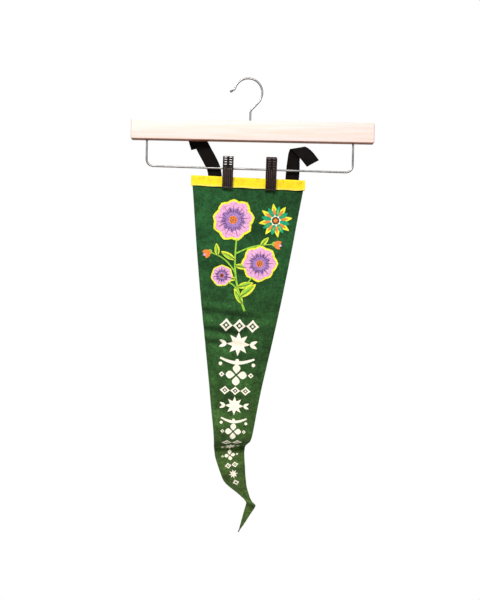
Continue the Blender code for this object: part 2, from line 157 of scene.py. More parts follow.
bpy.ops.mesh.primitive_plane_add(size=2 * FLOOR_HALF, location=(0, 0, FLOOR_Z))
floor = bpy.context.object
floor.name = "studio_floor"
# Matt painted board: pale, with the faintest roller mottling.
floor_paint, tree, shader = new_material("matt_floor_paint", roughness=0.9)
place = add_node(tree, "TexCoord")
roller = add_node(tree, "TexNoise", {"Scale": 6.0, "Detail": 4.0}, {"Vector": place.outputs["Object"]})
colour = add_node(tree, "ValToRGB", {"stops": ((0.3, "#e9e8e5"), (0.7, "#f2f1ef"))}, {"Fac": roller})
link(shader, {"Base Color": colour})
floor.data.materials.append(floor_paint)


# Hanger bar. A straight batten of pale beech, planed, eased at its edges and lacquered, drilled in
# its top for the hook and in its underside for the two ends of the wire rail.
BAR_LENGTH = 355.0
BAR_DEPTH = 15.0
BAR_MIDDLE_X = 7.4
BAR_TOP_Z = -61.5
BAR_BOTTOM_Z = -90.9
BAR_EDGE = 1.8
SOCKET_DEPTH = 14.0
END_CLEAR = 0.5                # how far a wire's end stays off the bottom of its socket
SOCKET_RADIUS = 1.8
STEM_X = 3.6
RAIL_LEFT_X, RAIL_RIGHT_X = -147.0, 154.9


def mm(x, y, z):
    return Vector((x, y, z)) * MM


def select_only(*items):
    bpy.ops.object.select_all(action="DESELECT")
    for item in items:
        item.select_set(True)
    bpy.context.view_layer.objects.active = items[-1]


def settle(name):
    """Names the object just added and puts its place, turn and size in its mesh."""
    item = bpy.context.object
    item.name = name
    bpy.ops.object.transform_apply()
    return item


def add_block(name, low, high):
    """A box between two corners in millimetres, its place in its mesh."""
    low, high = mm(*low), mm(*high)
    bpy.ops.mesh.primitive_cube_add(size=1, location=(low + high) / 2, scale=high - low)
    return settle(name)


def add_rod(name, radius, centre, length, axis, sides=24):
    """A round rod along X, Y or Z, its place in its mesh."""
    turns = {"X": (0, math.pi / 2, 0), "Y": (math.pi / 2, 0, 0), "Z": (0, 0, 0)}
    bpy.ops.mesh.primitive_cylinder_add(
        vertices=sides, radius=radius * MM, depth=length * MM, location=mm(*centre), rotation=turns[axis]
    )
    return settle(name)


def apply_modifier(item, kind, **settings):
    select_only(item)
    bpy.ops.object.modifier_add(type=kind)
    modifier = item.modifiers[-1]
    for name, value in settings.items():
        setattr(modifier, name, value)
    bpy.ops.object.modifier_apply(modifier=modifier.name)


def cut_or_join(item, other, operation):
    apply_modifier(item, "BOOLEAN", operation=operation, object=other)
    bpy.data.objects.remove(other, do_unlink=True)


def smooth(item, degrees=35):
    select_only(item)
    bpy.ops.object.shade_smooth_by_angle(angle=math.radians(degrees))


def dress(item, material, slot, *nodes):
    """The piece's finish, the body it rides on and the solids it stands for."""
    if not item.data.materials:
        item.data.materials.append(material)
    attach(item, "root")
    if nodes:
        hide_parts(*nodes)


bar_left = BAR_MIDDLE_X - BAR_LENGTH / 2
bar_right = BAR_MIDDLE_X + BAR_LENGTH / 2
bar = add_block(
    "beech_bar",
    (bar_left, -BAR_DEPTH / 2, BAR_BOTTOM_Z),
    (bar_right, BAR_DEPTH / 2, BAR_TOP_Z),
)
apply_modifier(bar, "BEVEL", width=BAR_EDGE * MM, segments=5, profile=0.5)
for drilled_x, mouth_z in (
    (STEM_X, BAR_TOP_Z), (RAIL_LEFT_X, BAR_BOTTOM_Z), (RAIL_RIGHT_X, BAR_BOTTOM_Z),
):
    drill = add_rod("drill", SOCKET_RADIUS, (drilled_x, 0, mouth_z), 2 * SOCKET_DEPTH, "Z")
    cut_or_join(bar, drill, "DIFFERENCE")
smooth(bar, 40)

# Lacquered beech: nearly white, straight grain along the bar with short darker ray flecks, the
# growth bands some 4 mm wide. The underside and the ends are painted brown as painted shade.
# The lacquer gives a low gloss.
beech, tree, shader = new_material(
    "lacquered_beech", roughness=0.42, coat_weight=0.25, coat_roughness=0.18
)
place = add_node(tree, "TexCoord")
GRAIN_BAND = 4.0
GRAIN_STRETCH = 22.0
along = add_node(
    tree, "Mapping", {"Scale": (1 / GRAIN_STRETCH, 1.0, 1.0)}, {"Vector": place.outputs["Object"]}
)
bands = add_node(
    tree, "TexNoise", {"Scale": 1 / (GRAIN_BAND * MM), "Detail": 3.0, "Distortion": 0.6},
    {"Vector": along},
)
grain_stops = ((0.30, "#ebcdc0"), (0.46, "#eed3cc"), (0.62, "#f1d8d3"), (0.8, "#ecd0c6"))
grain = add_node(tree, "ValToRGB", {"stops": grain_stops}, {"Fac": bands})
FLECK_LENGTH = 1.6
flecked = add_node(
    tree, "Mapping", {"Scale": (1 / FLECK_LENGTH, 1.0, 4.0)}, {"Vector": place.outputs["Object"]}
)
flecks = add_node(
    tree, "TexNoise", {"Scale": 1 / (FLECK_LENGTH * MM), "Detail": 2.0}, {"Vector": flecked}
)
fleck_mask = add_node(
    tree, "MapRange", {"From Min": 0.62, "From Max": 0.75, "To Max": 0.22}, {"Value": flecks}
)
flecked_grain = add_node(
    tree, "Mix", {"data_type": "RGBA", "B_Color": srgb("#e3c7a6")},
    {"Factor_Float": fleck_mask, "A_Color": grain},
)
# Painted shade: faces turned downward or endwise are mixed towards brown.
facing = add_node(tree, "SeparateXYZ", links={"Vector": place.outputs["Normal"]})
painted_shade_under = add_node(
    tree, "MapRange", {"From Min": -0.3, "From Max": -0.85, "To Max": 0.95},
    {"Value": facing.outputs["Z"]},
)
endwise = add_node(tree, "Math", {"operation": "ABSOLUTE"}, {"Value": facing.outputs["X"]})
painted_shade_ends = add_node(
    tree, "MapRange", {"From Min": 0.5, "From Max": 0.95, "To Max": 0.7}, {"Value": endwise}
)
painted_shade = add_node(
    tree, "Math", {"operation": "MAXIMUM"}, {"Value": painted_shade_under, "Value_001": painted_shade_ends}
)
whole = add_node(
    tree, "Mix", {"data_type": "RGBA", "B_Color": srgb("#91522c")},
    {"Factor_Float": painted_shade, "A_Color": flecked_grain.outputs[2]},
)
link(shader, {"Base Color": whole.outputs[2]})
pores = add_node(
    tree, "Bump", {"Strength": 0.12, "Distance": 0.15 * MM}, {"Height": flecks}
)
link(shader, {"Normal": pores})
dress(bar, beech, "bar_wood", "wood_bar")


# Hook and rail. One gauge of drawn steel wire, bent cold: the hook has a slanting neck, a round and
# a small end bead, and the rail is a long flat U whose two ends are pushed into the bar.
WIRE_RADIUS = 1.5
WIRE_SIDES = 20
HOOK_RADIUS = 20.4
HOOK_CENTRE = (0.0, WIRE_RADIUS - HOOK_RADIUS)
HOOK_ARC = (-25.0, 163.0)
NECK_LOW = (STEM_X, -46.0)
NECK_TOP = (17.3, -31.0)
HOOK_TIP = (-25.0, -17.4)
NECK_BENDS = (5.0, 6.0)
TIP_BEND, TIP_TURN = 4.5, -42.0
BEAD_RADIUS = 2.2
RAIL_LEFT_Z, RAIL_RIGHT_Z = -129.3, -133.4
RAIL_CORNER = 10.0


def round_point(degrees):
    turn = math.radians(degrees)
    return Vector(HOOK_CENTRE) + HOOK_RADIUS * Vector((math.cos(turn), math.sin(turn)))


def rounded_legs(corners, radii):
    """The straight and bent legs of a wire through corners in the XZ plane."""
    legs = []
    corners = [Vector(corner) for corner in corners]
    for before, corner, after, radius in zip(corners, corners[1:], corners[2:], radii):
        to_before, to_after = (before - corner).normalized(), (after - corner).normalized()
        half = to_before.angle(to_after) / 2
        start = corner + to_before * radius / math.tan(half)
        centre = corner + (to_before + to_after).normalized() * radius / math.sin(half)
        left_turn = to_after.cross(to_before) > 0
        legs.append(("straight", start))
        legs.append(("bend", centre, (180 - math.degrees(2 * half)) * (1 if left_turn else -1)))
    legs.append(("straight", corners[-1]))
    return legs


def bend_wire(name, start, legs, bend_step=9.0):
    """A round wire begun as a disc at start and extruded or spun along its legs."""
    bpy.ops.mesh.primitive_circle_add(
        vertices=WIRE_SIDES, radius=WIRE_RADIUS * MM, fill_type="NGON",
        location=mm(start[0], 0, start[1]),
    )
    item = settle(name)
    bpy.ops.object.mode_set(mode="EDIT")
    bpy.ops.mesh.select_all(action="SELECT")
    here = Vector(start)
    for leg in legs:
        if leg[0] == "straight":
            step = Vector(leg[1]) - here
            here = Vector(leg[1])
            if step.length > 0.05:
                bpy.ops.mesh.extrude_region_move(
                    TRANSFORM_OT_translate={"value": mm(step.x, 0, step.y)}
                )
        else:
            centre, degrees = Vector(leg[1]), leg[2]
            bpy.ops.mesh.spin(
                steps=max(4, round(abs(degrees) / bend_step)), angle=math.radians(degrees),
                center=mm(centre.x, 0, centre.y), axis=(0, 1, 0),
            )
            here = centre + Matrix.Rotation(math.radians(degrees), 2) @ (here - centre)
    bpy.ops.mesh.select_all(action="SELECT")
    bpy.ops.mesh.remove_doubles(threshold=0.01 * MM)
    bpy.ops.mesh.normals_make_consistent(inside=False)
    bpy.ops.object.mode_set(mode="OBJECT")
    return item


stem_foot = (STEM_X, BAR_TOP_Z - SOCKET_DEPTH + END_CLEAR)
neck_legs = rounded_legs((stem_foot, NECK_LOW, NECK_TOP, round_point(HOOK_ARC[0])), NECK_BENDS)
arc_end = round_point(HOOK_ARC[1])
heading = math.radians(HOOK_ARC[1] + 90)
tip_centre = arc_end + TIP_BEND * Vector((math.sin(heading), -math.cos(heading)))
hook_legs = neck_legs + [
    ("bend", HOOK_CENTRE, HOOK_ARC[1] - HOOK_ARC[0]),
    ("bend", tip_centre, TIP_TURN),
    ("straight", HOOK_TIP),
]
hook = bend_wire("steel_hook", stem_foot, hook_legs, 6.0)
bpy.ops.mesh.primitive_uv_sphere_add(
    segments=24, ring_count=14, radius=BEAD_RADIUS * MM, location=mm(HOOK_TIP[0], 0, HOOK_TIP[1])
)
bead = bpy.context.object
bpy.ops.object.transform_apply()
cut_or_join(hook, bead, "UNION")
smooth(hook)

rail_corners = (
    (RAIL_LEFT_X, BAR_BOTTOM_Z + SOCKET_DEPTH - END_CLEAR),
    (RAIL_LEFT_X, RAIL_LEFT_Z),
    (RAIL_RIGHT_X, RAIL_RIGHT_Z),
    (RAIL_RIGHT_X, BAR_BOTTOM_Z + SOCKET_DEPTH - END_CLEAR),
)
rail = bend_wire("steel_rail", rail_corners[0], rounded_legs(rail_corners, (RAIL_CORNER, RAIL_CORNER)))
smooth(rail)

# Drawn steel wire: grey, half bright, with faint draw lines about 0.4 mm apart that run along it
# and a little dulling where it has been handled.
drawn_steel, tree, shader = new_material("drawn_steel_wire", metallic=1.0, roughness=0.34)
place = add_node(tree, "TexCoord")
DRAW_LINE = 0.4
handled = add_node(tree, "TexNoise", {"Scale": 60.0, "Detail": 5.0}, {"Vector": place.outputs["Object"]})
lines = add_node(tree, "Mapping", {"Scale": (0.04, 1.0, 1.0)}, {"Vector": place.outputs["Object"]})
drawn = add_node(
    tree, "TexNoise", {"Scale": 1 / (DRAW_LINE * MM), "Detail": 1.0}, {"Vector": lines}
)
colour = add_node(tree, "ValToRGB", {"stops": ((0.35, "#868484"), (0.65, "#a2a0a0"))}, {"Fac": handled})
link(shader, {"Base Color": colour})
dulled = add_node(
    tree, "MapRange", {"To Min": 0.24, "To Max": 0.46}, {"Value": handled}
)
link(shader, {"Roughness": dulled})
draw_bump = add_node(
    tree, "Bump", {"Strength": 0.15, "Distance": 0.05 * MM}, {"Height": drawn}
)
link(shader, {"Normal": draw_bump})
dress(hook, drawn_steel, "wire_steel", "hook_wire")
dress(rail, drawn_steel, "wire_steel", "wire_bar")


# Spring clips. Each is two moulded levers that pivot on the rail on ears, pressed shut by a coil of
# spring wire round the rail. The front lever has two columns of grip bars above five long ribs.
CLIP_WIDTH = 15.6
CLIP_TOP = 17.0
BACK_LEVER_TALLER = 2.0
CLIP_FOOT = -30.0
LEVER_TOP_OUT, LEVER_PIVOT_OUT, LEVER_FOOT_OUT = 8.6, 6.3, 5.5
LEVER_WALL = 2.4
LEVER_STEPS = (-6.0, 0.0, 4.0, 8.0, 12.0)
JAW_IN = 3.1
JAW_TOP = -16.0
JAW_SLOPE_TOP = -12.0
EAR_WALL = 1.3
EAR_RADIUS = 3.3
EAR_CLEAR = 0.3
MOULD_EDGE = 0.4
GRIP_ROWS, GRIP_PITCH, GRIP_FIRST_Z = 4, 3.4, 15.3
GRIP_COLUMN_X = 3.7
GRIP_BAR = (4.2, 1.5)
GRIP_LEAN = 0.2                # how much a grip bar's face leans back for its height
RIB_COUNT, RIB_PITCH, RIB_WIDTH = 5, 2.8, 1.15
RIB_TOP, RIB_FOOT = -0.6, -25.6
GRIP_EDGE, ARCH_EDGE, RIB_EDGE = 0.2, 0.15, 0.35
RELIEF_ROOT = 0.7              # how deep the grip bars and teeth sit in the lever
ARCH_RADIUS = 1.5
ARCH_Z, DIMPLE_Z, ARCH_SEAT_Z = 1.2, 1.0, 1.4
TOOTH_WIDTH, TOOTH_OUT, TOOTH_TOP = 1.7, 0.45, -27.2
TOP_ROUND = 1.4
RAISED = 0.6
FLAT_ANGLE = 20                # moulded faces meet their eased edges without a smooth blend
SPRING_TURNS = 6
SPRING_PITCH = 1.35
SPRING_ROUND, SPRING_WIRE = 2.55, 0.55
LEG = 8.0
CLIP_NAMES = ("clip_left", "clip_right")
CLIP_X = (-27.6, 35.8)
CLIP_PITCH = (0.0, 8.0)
CLIP_TURN = 1.2


def lever_out(z):
    """How far a lever's outer face stands from the rail at a height."""
    if z > 0:
        return LEVER_PIVOT_OUT + (LEVER_TOP_OUT - LEVER_PIVOT_OUT) * z / CLIP_TOP
    return LEVER_PIVOT_OUT + (LEVER_FOOT_OUT - LEVER_PIVOT_OUT) * z / CLIP_FOOT


def lever_in(z):
    """How far its inner face does: the jaw pad below, then the plain wall."""
    if z <= JAW_TOP:
        return JAW_IN
    if z <= JAW_SLOPE_TOP:
        share = (z - JAW_TOP) / (JAW_SLOPE_TOP - JAW_TOP)
        return JAW_IN + (lever_out(z) - LEVER_WALL - JAW_IN) * share
    return lever_out(z) - LEVER_WALL


def extruded_bar(name, left, right, stations):
    """A bar extruded upwards through (z, inner, outer) stations, its front towards -Y."""
    z, inner, outer = stations[0]
    bpy.ops.mesh.primitive_plane_add(
        size=1, location=mm((left + right) / 2, -(inner + outer) / 2, z)
    )
    bpy.context.object.scale = ((right - left) * MM, (outer - inner) * MM, 1)
    item = settle(name)
    bpy.ops.object.mode_set(mode="EDIT")
    bpy.ops.mesh.select_all(action="SELECT")
    for next_z, next_inner, next_outer in stations[1:]:
        shift = (inner + outer - next_inner - next_outer) / 2
        bpy.ops.mesh.extrude_region_move(TRANSFORM_OT_translate={"value": mm(0, shift, next_z - z)})
        centre = mm((left + right) / 2, -(next_inner + next_outer) / 2, next_z)
        bpy.ops.transform.resize(
            value=(1, (next_outer - next_inner) / (outer - inner), 1), center_override=centre
        )
        z, inner, outer = next_z, next_inner, next_outer
    bpy.ops.mesh.select_all(action="SELECT")
    bpy.ops.mesh.normals_make_consistent(inside=False)
    bpy.ops.object.mode_set(mode="OBJECT")
    return item


def round_top_corners(item, top, radius):
    """Bevels the two corners of a lever's upper end, seen from the front."""
    select_only(item)
    bpy.ops.object.mode_set(mode="EDIT")
    bpy.ops.mesh.select_all(action="DESELECT")
    shape = bmesh.from_edit_mesh(item.data)
    for edge in shape.edges:
        ends = [vert.co for vert in edge.verts]
        at_top = all(abs(end.z - top * MM) < 0.01 * MM for end in ends)
        edge.select = at_top and abs(ends[0].x - ends[1].x) < 0.01 * MM
    bmesh.update_edit_mesh(item.data)
    bpy.ops.mesh.bevel(offset=radius * MM, segments=4, affect="EDGES")
    bpy.ops.object.mode_set(mode="OBJECT")


def eased(item, width=MOULD_EDGE, segments=2):
    apply_modifier(item, "BEVEL", width=width * MM, segments=segments, limit_method="ANGLE")
    return item


def joined(name, items):
    select_only(*items)
    bpy.ops.object.join()
    item = bpy.context.object
    item.name = name
    return item


def make_lever(name, front):
    """One moulded lever with its ears, facing -Y; the back one is turned round afterwards."""
    top = CLIP_TOP if front else CLIP_TOP + BACK_LEVER_TALLER
    heights = [CLIP_FOOT, JAW_TOP, JAW_SLOPE_TOP, *LEVER_STEPS, top]
    half = CLIP_WIDTH / 2
    lever = extruded_bar(name, -half, half, [(z, lever_in(z), lever_out(z)) for z in heights])
    round_top_corners(lever, top, TOP_ROUND)
    eased(lever)
    ear_outer = half if front else half - EAR_WALL - EAR_CLEAR
    for hand in (-1, 1):
        centre_x = hand * (ear_outer - EAR_WALL / 2)
        ear = add_rod("ear", EAR_RADIUS, (centre_x, 0, 0), EAR_WALL, "X", 28)
        root = add_block(
            "ear_root",
            (centre_x - EAR_WALL / 2 + 0.02, -lever_in(0) - 0.8, -EAR_RADIUS + 0.1),
            (centre_x + EAR_WALL / 2 - 0.02, 0, EAR_RADIUS - 0.1),
        )
        cut_or_join(ear, root, "UNION")
        bore = add_rod("bore", WIRE_RADIUS + EAR_CLEAR, (centre_x, 0, 0), 2 * EAR_WALL, "X", 20)
        cut_or_join(ear, bore, "DIFFERENCE")
        cut_or_join(lever, ear, "UNION")
    return lever


def lean_back(grip, face_y, middle_z):
    """Tilts a grip bar's front face up, its lower edge standing prouder than its upper one."""
    for vert in grip.data.vertices:
        if vert.co.y < face_y * MM:
            vert.co.y += (vert.co.z - middle_z * MM) * GRIP_LEAN


def front_relief():
    """Grip bars, small arches, long ribs and the toothed lip of the front lever."""
    blocks = []
    for column in (-GRIP_COLUMN_X, GRIP_COLUMN_X):
        for row in range(GRIP_ROWS):
            z = GRIP_FIRST_Z - row * GRIP_PITCH
            blocks.append(add_block(
                "grip",
                (column - GRIP_BAR[0] / 2, -lever_out(z) - RAISED, z - GRIP_BAR[1] / 2),
                (column + GRIP_BAR[0] / 2, -lever_out(z) + RELIEF_ROOT, z + GRIP_BAR[1] / 2),
            ))
            lean_back(blocks[-1], -lever_out(z), z)
            eased(blocks[-1], GRIP_EDGE)
        seat = -lever_out(ARCH_SEAT_Z)
        arch = add_rod("arch", ARCH_RADIUS, (column, seat, ARCH_Z), 2 * RAISED, "Y", 20)
        dimple = add_rod("dimple", ARCH_RADIUS / 2, (column, seat, DIMPLE_Z), 4 * RAISED, "Y", 16)
        cut_or_join(arch, dimple, "DIFFERENCE")
        blocks.append(eased(arch, ARCH_EDGE))
    for rib in range(RIB_COUNT):
        x = (rib - (RIB_COUNT - 1) / 2) * RIB_PITCH
        rib_stations = [(z, lever_out(z) - 0.6, lever_out(z) + RAISED) for z in (RIB_FOOT, RIB_TOP)]
        long_rib = extruded_bar("rib", x - RIB_WIDTH / 2, x + RIB_WIDTH / 2, rib_stations)
        tooth = add_block(
            "tooth",
            (x - TOOTH_WIDTH / 2, -LEVER_FOOT_OUT - TOOTH_OUT, CLIP_FOOT + 0.1),
            (x + TOOTH_WIDTH / 2, -LEVER_FOOT_OUT + RELIEF_ROOT, TOOTH_TOP),
        )
        blocks += [eased(long_rib, RIB_EDGE, 3), eased(tooth, RIB_EDGE, 3)]
    return blocks


def make_spring(name):
    """Six turns of spring wire round the rail, with a leg against each lever."""
    half = SPRING_TURNS * SPRING_PITCH / 2
    bpy.ops.mesh.primitive_circle_add(
        vertices=10, radius=SPRING_WIRE * MM, fill_type="NGON",
        location=mm(-half, 0, SPRING_ROUND), rotation=(math.pi / 2, 0, 0),
    )
    item = settle(name)
    apply_modifier(
        item, "SCREW", axis="X", angle=2 * math.pi, screw_offset=SPRING_PITCH * MM,
        iterations=SPRING_TURNS, steps=18, render_steps=18, merge_threshold=0.0001 * MM,
    )
    legs = []
    for hand in (-1, 1):
        reach = lever_in(0) - 0.1
        end_x, leg_y = hand * half, hand * (reach - SPRING_WIRE)
        inward = add_rod(
            "leg_turn", SPRING_WIRE, (end_x, hand * reach / 2, SPRING_ROUND), reach, "Y", 10
        )
        rise = add_rod("leg", SPRING_WIRE, (end_x, leg_y, SPRING_ROUND + LEG / 2), LEG, "Z", 10)
        legs += [inward, rise]
    return joined(name, [*legs, item])


# Moulded polystyrene, black and high in gloss, with the faint flow ripple and small scuffs of
# cheap injection moulding. Where light grazes it, it looks brown.
clip_plastic, tree, shader = new_material(
    "moulded_black_polystyrene", roughness=0.2, specular_ior_level=0.5
)
place = add_node(tree, "TexCoord")
RIPPLE = 3.0
SCUFF = 0.9
here = {"Vector": place.outputs["Object"]}
ripple = add_node(tree, "TexNoise", {"Scale": 1 / (RIPPLE * MM), "Detail": 1.5}, here)
scuffs = add_node(tree, "TexNoise", {"Scale": 1 / (SCUFF * MM), "Detail": 4.0}, here)
colour = add_node(tree, "ValToRGB", {"stops": ((0.3, "#0c0706"), (0.7, "#170e0b"))}, {"Fac": ripple})
link(shader, {"Base Color": colour})
scuffed = add_node(
    tree, "MapRange", {"From Min": 0.45, "From Max": 0.7, "To Min": 0.16, "To Max": 0.3},
    {"Value": scuffs},
)
link(shader, {"Roughness": scuffed})
flow = add_node(tree, "Bump", {"Strength": 0.2, "Distance": 0.08 * MM}, {"Height": ripple})
link(shader, {"Normal": flow})

# The grip bars, arches, ribs and teeth are painted browner than the plain plastic, a painted highlight
# where light catches their crests, under a thin clear coat.
painted_highlight_plastic, tree, shader = new_material(
    "polystyrene_painted_highlight", roughness=0.22, specular_ior_level=0.6,
    coat_weight=0.3, coat_roughness=0.15,
)
place = add_node(tree, "TexCoord")
painted_highlight_noise = add_node(
    tree, "TexNoise", {"Scale": 1 / (RIPPLE * MM), "Detail": 3.0},
    {"Vector": place.outputs["Object"]},
)
colour = add_node(tree, "ValToRGB", {"stops": ((0.35, "#2a1913"), (0.65, "#472d24"))}, {"Fac": painted_highlight_noise})
link(shader, {"Base Color": colour})

# Spring wire: hard bright steel, darker and bluer than the rail, with a trace of oil.
spring_steel, tree, shader = new_material("oiled_spring_wire", metallic=1.0, roughness=0.28)
place = add_node(tree, "TexCoord")
oil = add_node(tree, "TexNoise", {"Scale": 500.0, "Detail": 3.0}, {"Vector": place.outputs["Object"]})
colour = add_node(tree, "ValToRGB", {"stops": ((0.35, "#6f6f74"), (0.65, "#9a9a9e"))}, {"Fac": oil})
link(shader, {"Base Color": colour})

rail_slope = math.atan2(RAIL_RIGHT_Z - RAIL_LEFT_Z, RAIL_RIGHT_X - RAIL_LEFT_X)
for clip_name, clip_x, clip_pitch in zip(CLIP_NAMES, CLIP_X, CLIP_PITCH):
    share = (clip_x - RAIL_LEFT_X) / (RAIL_RIGHT_X - RAIL_LEFT_X)
    rail_z = RAIL_LEFT_Z + (RAIL_RIGHT_Z - RAIL_LEFT_Z) * share
    turns = Matrix.Rotation(math.radians(CLIP_TURN), 4, "Z") @ Matrix.Rotation(-rail_slope, 4, "Y")
    turns = turns @ Matrix.Rotation(math.radians(clip_pitch), 4, "X")
    seat = Matrix.Translation(mm(clip_x, 0, rail_z)) @ turns
    relief = joined("relief", front_relief())
    relief.data.materials.append(clip_plastic)
    relief.data.materials.append(painted_highlight_plastic)
    # The relief's faces take the plastic with the painted highlight.
    for face in relief.data.polygons:
        face.material_index = 1
    plain_lever = make_lever("lever", True)
    plain_lever.data.materials.append(clip_plastic)
    front_lever = joined(clip_name + "_front_lever", [relief, plain_lever])
    back_lever = make_lever(clip_name + "_back_lever", False)
    back_lever.matrix_world = Matrix.Rotation(math.pi, 4, "Z")
    select_only(back_lever)
    bpy.ops.object.transform_apply()
    spring = make_spring(clip_name + "_coil")
    for piece in (front_lever, back_lever, spring):
        piece.matrix_world = seat
        select_only(piece)
        bpy.ops.object.transform_apply()
        smooth(piece, 40 if piece is spring else FLAT_ANGLE)
    dress(front_lever, clip_plastic, "clip_plastic", clip_name + "_front")
    dress(back_lever, clip_plastic, "clip_plastic", clip_name + "_back")
    dress(spring, spring_steel, "spring_steel", clip_name + "_spring")


# Felt pennant. A long triangle of green wool felt, 166 mm by 563 mm as cut, creased from having
# been folded: it buckles near two thirds down, and its point is folded twice and twists.
FELT_LENGTH = 563.0
FELT_WIDTH = 166.0
FELT_WALL = 1.5
FELT_POINT = 1.6
FELT_FULLNESS = 2.0
FULL_TO = 300.0          # down to here
LOWER_FULLNESS = 1.0     # and again along the creased part down to the tip
LOWER_FULL_FROM = 380.0
FELT_ROW = 2.0
FELT_COLUMNS = 40

# down: distance along the cut cloth. x, y, z: the middle of the section. tilt: right side lower.
# turn: right side further back. bow: middle forward of the sides.
Section = namedtuple("Section", "down x y z tilt turn bow")
FELT_SECTIONS = (
    Section(-6, 2.3, 0.9, -140.0, 1.3, 1.9, 0.0),
    Section(0, 2.4, 1.1, -146.0, 1.3, 2.2, 0.0),
    Section(16, 2.2, 2.2, -162.0, 1.2, 3.6, 0.3),
    Section(60, 0.2, 4.5, -206.2, 1.6, 4.0, 1.5),
    Section(110, -2.1, 3.0, -256.5, 2.0, 1.0, 2.5),
    Section(158, -4.2, 0.5, -304.9, 2.4, -1.0, 2.0),
    Section(176, -4.9, -1.8, -322.7, 2.5, -1.0, 1.5),
    Section(194, -5.6, -0.6, -340.6, 2.5, 0.0, 1.5),
    Section(240, -7.5, -1.5, -386.5, 2.5, 1.0, 2.0),
    Section(290, -9.9, -3.0, -436.3, 2.5, 1.0, 2.5),
    Section(330, -11.6, -7.5, -475.8, 2.5, 0.0, 2.5),
    Section(356, -12.2, -13.0, -501.1, 2.2, -3.0, 2.0),
    Section(372, -12.7, -15.5, -516.8, 1.0, -4.0, 1.5),
    Section(384, -13.8, -11.0, -527.8, -2.0, -4.0, 1.0),
    Section(398, -16.0, 0.5, -535.5, -6.0, -4.0, 0.5),
    Section(410, -17.2, 9.5, -541.5, -8.0, -3.0, 0.0),
    Section(419, -17.0, 6.0, -550.0, -10.5, -2.0, 0.5),
    Section(430, -15.1, -1.0, -558.6, -12.0, -2.0, 1.0),
    Section(444, -12.0, -5.0, -571.5, -13.0, -4.0, 1.0),
    Section(456, -9.3, -4.0, -583.0, -14.0, -10.0, 1.0),
    Section(470, -4.4, 0.5, -594.3, -15.0, -30.0, 1.0),
    Section(484, 0.9, 4.5, -602.9, -14.0, -42.0, 1.0),
    Section(498, 8.2, -1.5, -612.3, 4.0, -51.0, 0.5),
    Section(511, 15.0, -10.0, -618.4, 12.0, -38.0, 0.0),
    Section(519, 14.5, -4.5, -623.6, 19.0, -28.0, 0.0),
    Section(531, 10.6, 2.0, -634.0, 23.0, -16.0, 0.5),
    Section(548, 3.5, 0.0, -650.0, 24.0, -8.0, 0.3),
    Section(563, -2.2, -7.0, -660.3, 24.0, 0.0, 0.0),
)

# Soft creases left by folding and storage. down, across: the middle of the crease on the cut.
# reach: half its length across. width: half its height. rise: forward, or back where negative.
# slant: how much lower its right end lies.
Crease = namedtuple("Crease", "down across reach width rise slant")
# A crease's rise is also read by the felt's colour, as painted shade in its trough and painted light on
# its ridge.
CREASES = (
    Crease(186, -30, 48, 5.0, 1.2, 4.0),
    Crease(197, -20, 60, 4.5, -1.8, 4.0),
    Crease(205, 34, 32, 6.0, 1.1, -2.0),
    Crease(209, -30, 40, 5.0, 1.5, 3.0),
    Crease(222, -32, 36, 4.5, -2.3, 3.0),
    Crease(220, 28, 34, 6.0, -1.1, 3.0),
    Crease(232, -28, 34, 4.5, 1.5, 3.0),
    Crease(241, -22, 36, 4.5, -1.7, 3.0),
    Crease(250, -20, 34, 5.0, 1.2, 3.0),
    Crease(262, 6, 40, 8.0, -0.8, -4.0),
    Crease(296, -20, 30, 7.0, 0.9, 5.0),
    Crease(318, 14, 30, 6.0, -0.8, -3.0),
    Crease(345, -12, 30, 6.0, 0.8, 4.0),
    Crease(96, 40, 42, 14.0, 1.3, -10.0),
    Crease(132, -44, 34, 12.0, -1.2, 8.0),
    Crease(58, -48, 30, 16.0, 1.2, -6.0),
    Crease(78, 20, 36, 12.0, -1.0, 12.0),
    Crease(436, 4, 22, 6.0, 0.7, -4.0),
    Crease(452, -2, 20, 5.0, -0.6, -6.0),
    # These three also darken the buckle and the felt under the point's fold through that painted shade,
    # as well as moving it.
    Crease(391, 0, 40, 6.0, -1.5, 0.0),
    Crease(505, 0, 12, 4.0, 1.1, 0.0),
    Crease(516, 0, 14, 5.0, -1.8, 0.0),
)


def section_at(sections, down):
    """The section at a distance along the cloth, on a smooth curve through the given ones."""
    last = len(sections) - 1
    index = 0
    while index < last - 1 and down > sections[index + 1].down:
        index += 1
    start, end = sections[index], sections[index + 1]
    before = sections[max(index - 1, 0)]
    after = sections[min(index + 2, last)]
    span = end.down - start.down
    t = (down - start.down) / span
    values = [down]
    for column in range(1, len(start)):
        slope_in = (end[column] - before[column]) / (end.down - before.down) * span
        slope_out = (after[column] - start[column]) / (after.down - start.down) * span
        values.append(
            (2 * t**3 - 3 * t**2 + 1) * start[column]
            + (t**3 - 2 * t**2 + t) * slope_in
            + (3 * t**2 - 2 * t**3) * end[column]
            + (t**3 - t**2) * slope_out
        )
    return Section(*values)


def crease_rise(down, across):
    """How far the creases lift the felt forwards at a place on the cut."""
    rise = 0.0
    for crease in CREASES:
        off = across - crease.across
        below = down - crease.down - crease.slant * off / crease.reach
        if abs(off) < crease.reach * 1.5 and abs(below) < crease.width * 3:
            rise += crease.rise * math.exp(-(below / crease.width) ** 2 - (off / crease.reach) ** 4)
    return rise


def cloth_point(sections, down, across, half_width, creased=False):
    """A point of a cloth's middle surface, from its place on the flat cut, in millimetres."""
    row = section_at(sections, down)
    tilt, turn = math.radians(row.tilt), math.radians(row.turn)
    side = Vector((math.cos(tilt) * math.cos(turn), math.sin(turn), -math.sin(tilt) * math.cos(turn)))
    point = Vector((row.x, row.y, row.z)) + side * across
    bowed = row.bow * max(0.0, 1.0 - (across / half_width) ** 2)
    if creased:
        bowed += crease_rise(down, across)
    return point + Vector((0, -bowed, 0))


